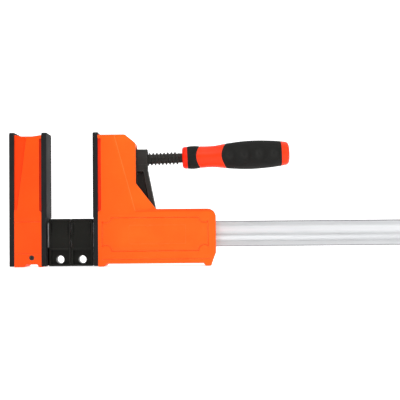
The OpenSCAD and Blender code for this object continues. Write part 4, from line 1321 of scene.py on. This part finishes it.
# %% Turn the spindle's plain ends onto it
tang_r, tang_to = 4.8, thread_to + 64.9
groove_from, groove_to, groove_deep = -22.2, -20.4, 0.9  # the groove of the retaining ring
spindle = wound_thread("threaded_spindle", thread_to - thread_from)
journal = [(journal_from, 0), (journal_from, journal_r - 0.6), (journal_from + 0.6, journal_r),
           (groove_from, journal_r), (groove_from, journal_r - groove_deep),
           (groove_to, journal_r - groove_deep), (groove_to, journal_r),
           (thread_to - 1, journal_r), (thread_to - 1, tang_r), (tang_to, tang_r), (tang_to, 0)]
combine(spindle, turned("journal", journal, 56, place=on_spindle), "UNION")
dress(soften(spindle, 0.12, corner=50), "spindle_and_handle", "spindle_black", "spindle")

# %% [markdown]
# ## Handle
#
# Red hard plastic forms the collar, the neck and the end cap; the black parts are a soft
# second moulding. Where the two meet, the line bows: it lies further left on the side that
# faces us than at the top and bottom. On a lathe every row of points can follow that bow,
# because a row's place may depend on the angle. Four shallow hollows in the grip are where
# the fingers rest, and a hair-line groove marks each joint of the two plastics.

# %% Measure the handle's shape
handle_start = thread_to
# places along the handle, and the radius there
handle_shape = [(0, 11.3), (3, 12.0), (6, 12.25), (10, 12.6), (14, 12.6), (19, 12.1), (24, 11.75),
                (30, 11.7), (36, 11.9), (42, 12.7), (48, 13.6), (55, 14.4), (64, 15.2), (74, 15.65),
                (82, 15.6), (90, 15.25), (98, 14.7), (104, 14.15), (109, 13.6), (113, 12.9)]
band_from = 5.7
cap_from = 108.8
handle_end = 118.0
soft_t = 2.0
joint_groove = 0.35
handle_sides = 96


def radius_at(x):
    """The handle's radius at a place along it, on a smooth curve through its measured points."""
    shape = handle_shape
    k = max(1, min(len(shape) - 3, sum(1 for s in shape if s[0] <= x) - 1))
    (x0, r0), (x1, r1), (x2, r2), (x3, r3) = shape[k - 1:k + 3]
    t = (x - x1) / (x2 - x1)
    m1, m2 = (r2 - r0) / (x2 - x0) * (x2 - x1), (r3 - r1) / (x3 - x1) * (x2 - x1)
    return ((2 * t ** 3 - 3 * t ** 2 + 1) * r1 + (t ** 3 - 2 * t ** 2 + t) * m1
            + (3 * t ** 2 - 2 * t ** 3) * r2 + (t ** 3 - t ** 2) * m2)


def bow(middle, amount):
    """The place of a colour line: further left on the near and far side, right at top and bottom."""
    return lambda angle: middle - amount * math.cos(2 * angle)


band_to, grip_from = bow(17.4, 1.9), bow(45.4, 2.5)
print("the handle is", handle_end, "mm long and", 2 * max(r for _, r in handle_shape), "mm thick")


def between(a, b, share):
    """The place a share of the way from a to b; each may be a number or follow the angle."""
    return lambda angle: at_angle(a, angle) + (at_angle(b, angle) - at_angle(a, angle)) * share


# %% Finger hollows in the grip
finger_depth = 1.7
finger_places = [51.5, 67.5, 84.0, 100.0]
finger_long, finger_wide = 7.6, 0.75  # half a hollow along the grip in mm, and round it as a share
finger_fullness = 0.8  # under 1, the hollow's floor is fuller and its rim steeper


def finger_hollows(x, angle):
    """How deep the hollows are at a place; they lie on the side that faces us and on the far side."""
    around = min(abs(math.sin(angle / 2)), abs(math.cos(angle / 2))) * 2
    depth = 0.0
    for place in finger_places:
        reach = ((x - place) / finger_long) ** 2 + (around / finger_wide) ** 2
        depth += finger_depth * max(0.0, 1 - reach) ** finger_fullness
    return depth


# %% Rows of points for the lathe
def skin_rows(a, b, count, with_hollows=False):
    """Rows of the visible skin from a to b, sunk at both ends by the groove of the joint."""
    rows = []
    for share in (0, 0.5 / count, *(k / count for k in range(1, count)), 1 - 0.5 / count, 1):
        place = between(a, b, share)
        sunk = joint_groove if share in (0, 1) else 0.0

        def radius(angle, place=place, sunk=sunk):
            x = place(angle)
            return radius_at(x) - sunk - (finger_hollows(x, angle) if with_hollows else 0)

        rows.append((place, radius))
    return rows


def under(a, b, count):
    """The same stretch, one soft layer below the skin, from b back to a."""
    places = [between(a, b, 1 - k / count) for k in range(count + 1)]
    return [(place, (lambda angle, place=place: radius_at(place(angle)) - soft_t)) for place in places]


def handle_piece(name, rows, finish, node, region=None, tube=True):
    """Turns rows that start at the handle's own end, and lays the piece onto the spindle."""
    moved = [((lambda angle, x=x: at_angle(x, angle) + handle_start), r) for x, r in rows]
    made = turned(name, moved, handle_sides, tube=tube, place=on_spindle)
    if region:
        colour_faces(made, finish, region)
    dress(soften(made, 0.12, corner=50), "spindle_and_handle", finish, node)


def in_collar(at):
    """Tells the faces of the collar from those of the neck."""
    return (at - pivot).dot(spindle_axis) < handle_start + band_from


# %% Mould the handle's four pieces
tang_end = tang_to - handle_start
collar = [(0, tang_r), (0, radius_at(0) - 1.4), (0.35, radius_at(0) - 0.5), (1.2, radius_at(1.2) - 0.1),
          *((x, radius_at(x)) for x in (2.2, 3.4, 4.6, 5.2)),
          (band_from, radius_at(band_from) - joint_groove)]
core_rows = collar + [(band_from, radius_at(band_from) - soft_t)]
core_rows += under(band_from, band_to, 3)[::-1][1:] + skin_rows(band_to, grip_from, 16)
core_rows += under(grip_from, cap_from, 16)[::-1] + [(cap_from, 3), (tang_end, 3), (tang_end, tang_r)]
# the collar gets painted shade, a darker red than the neck
handle_piece("handle_core_and_neck", core_rows, "handle_red", "handle_core", ("collar_painted_shade", in_collar))

band_rows = skin_rows(band_from, band_to, 8) + under(band_from, band_to, 3)
handle_piece("handle_soft_band", band_rows, "grip_black", "handle_band")

grip_rows = skin_rows(grip_from, cap_from, 44, True) + under(grip_from, cap_from, 16)
handle_piece("handle_soft_grip", grip_rows, "grip_black", "handle_grip")

dome_start, dome_end = 112.6, handle_end - 0.4
dome_drop, dome_steps = 5.6, 10
cap_rows = [(cap_from, 0), (cap_from, radius_at(cap_from) - joint_groove)]
cap_rows += [(x, radius_at(x)) for x in (109.3, 110.4, 111.5, dome_start)]
for k in range(1, dome_steps + 1):
    angle = math.pi / 2 * k / dome_steps
    cap_rows.append((dome_start + (dome_end - dome_start) * math.sin(angle),
                     radius_at(dome_start) - dome_drop * (1 - math.cos(angle)) ** 1.15))
cap_rows += [(handle_end - 0.25, 4), (handle_end - 0.2, 0)]
handle_piece("handle_end_cap", cap_rows, "handle_red", "handle_cap", tube=False)

# %% [markdown]
# ## The pieces that keep their CAD shape
#
# Screws, pins, bearings and the steel inside the jaws hardly show, and their CAD solids are
# right as they are. They only get their finish and a narrow bevel. The modifiers weld the
# exported triangles back together first, since a bevel needs faces that share their edges.

# %% Finish the CAD pieces that stay
usual_edge = 0.3
edge_width = {"rail_end_cap": 0.8, "rail_stop_pin": 0.4, "jaw_shell_screws": 0.25, "fixed_shell_screw": 0.25}
slot_of = {part["node"]: part["material_slot"] for part in frame["record"]["subparts"]}
staying = {name: node for name, node in frame["nodes"].items() if not node.hide_render}

for name, node in staying.items():
    node.data.materials.clear()
    node.data.materials.append(finishes[slot_of[name]])
    weld = node.modifiers.new("weld", "WELD")
    weld.merge_threshold = close_point
    flat = node.modifiers.new("join_flat_faces", "DECIMATE")
    flat.decimate_type = "DISSOLVE"
    flat.angle_limit = math.radians(0.6)
    bevel = node.modifiers.new("soft_edges", "BEVEL")
    bevel.width = edge_width.get(name, usual_edge) * MM
    bevel.segments = bevel_steps
    bevel.limit_method = "ANGLE"
    bevel.angle_limit = math.radians(35)
    flat_faces(node)
    for face in node.data.polygons:
        face.use_smooth = True
print("CAD pieces finished:", len(staying))
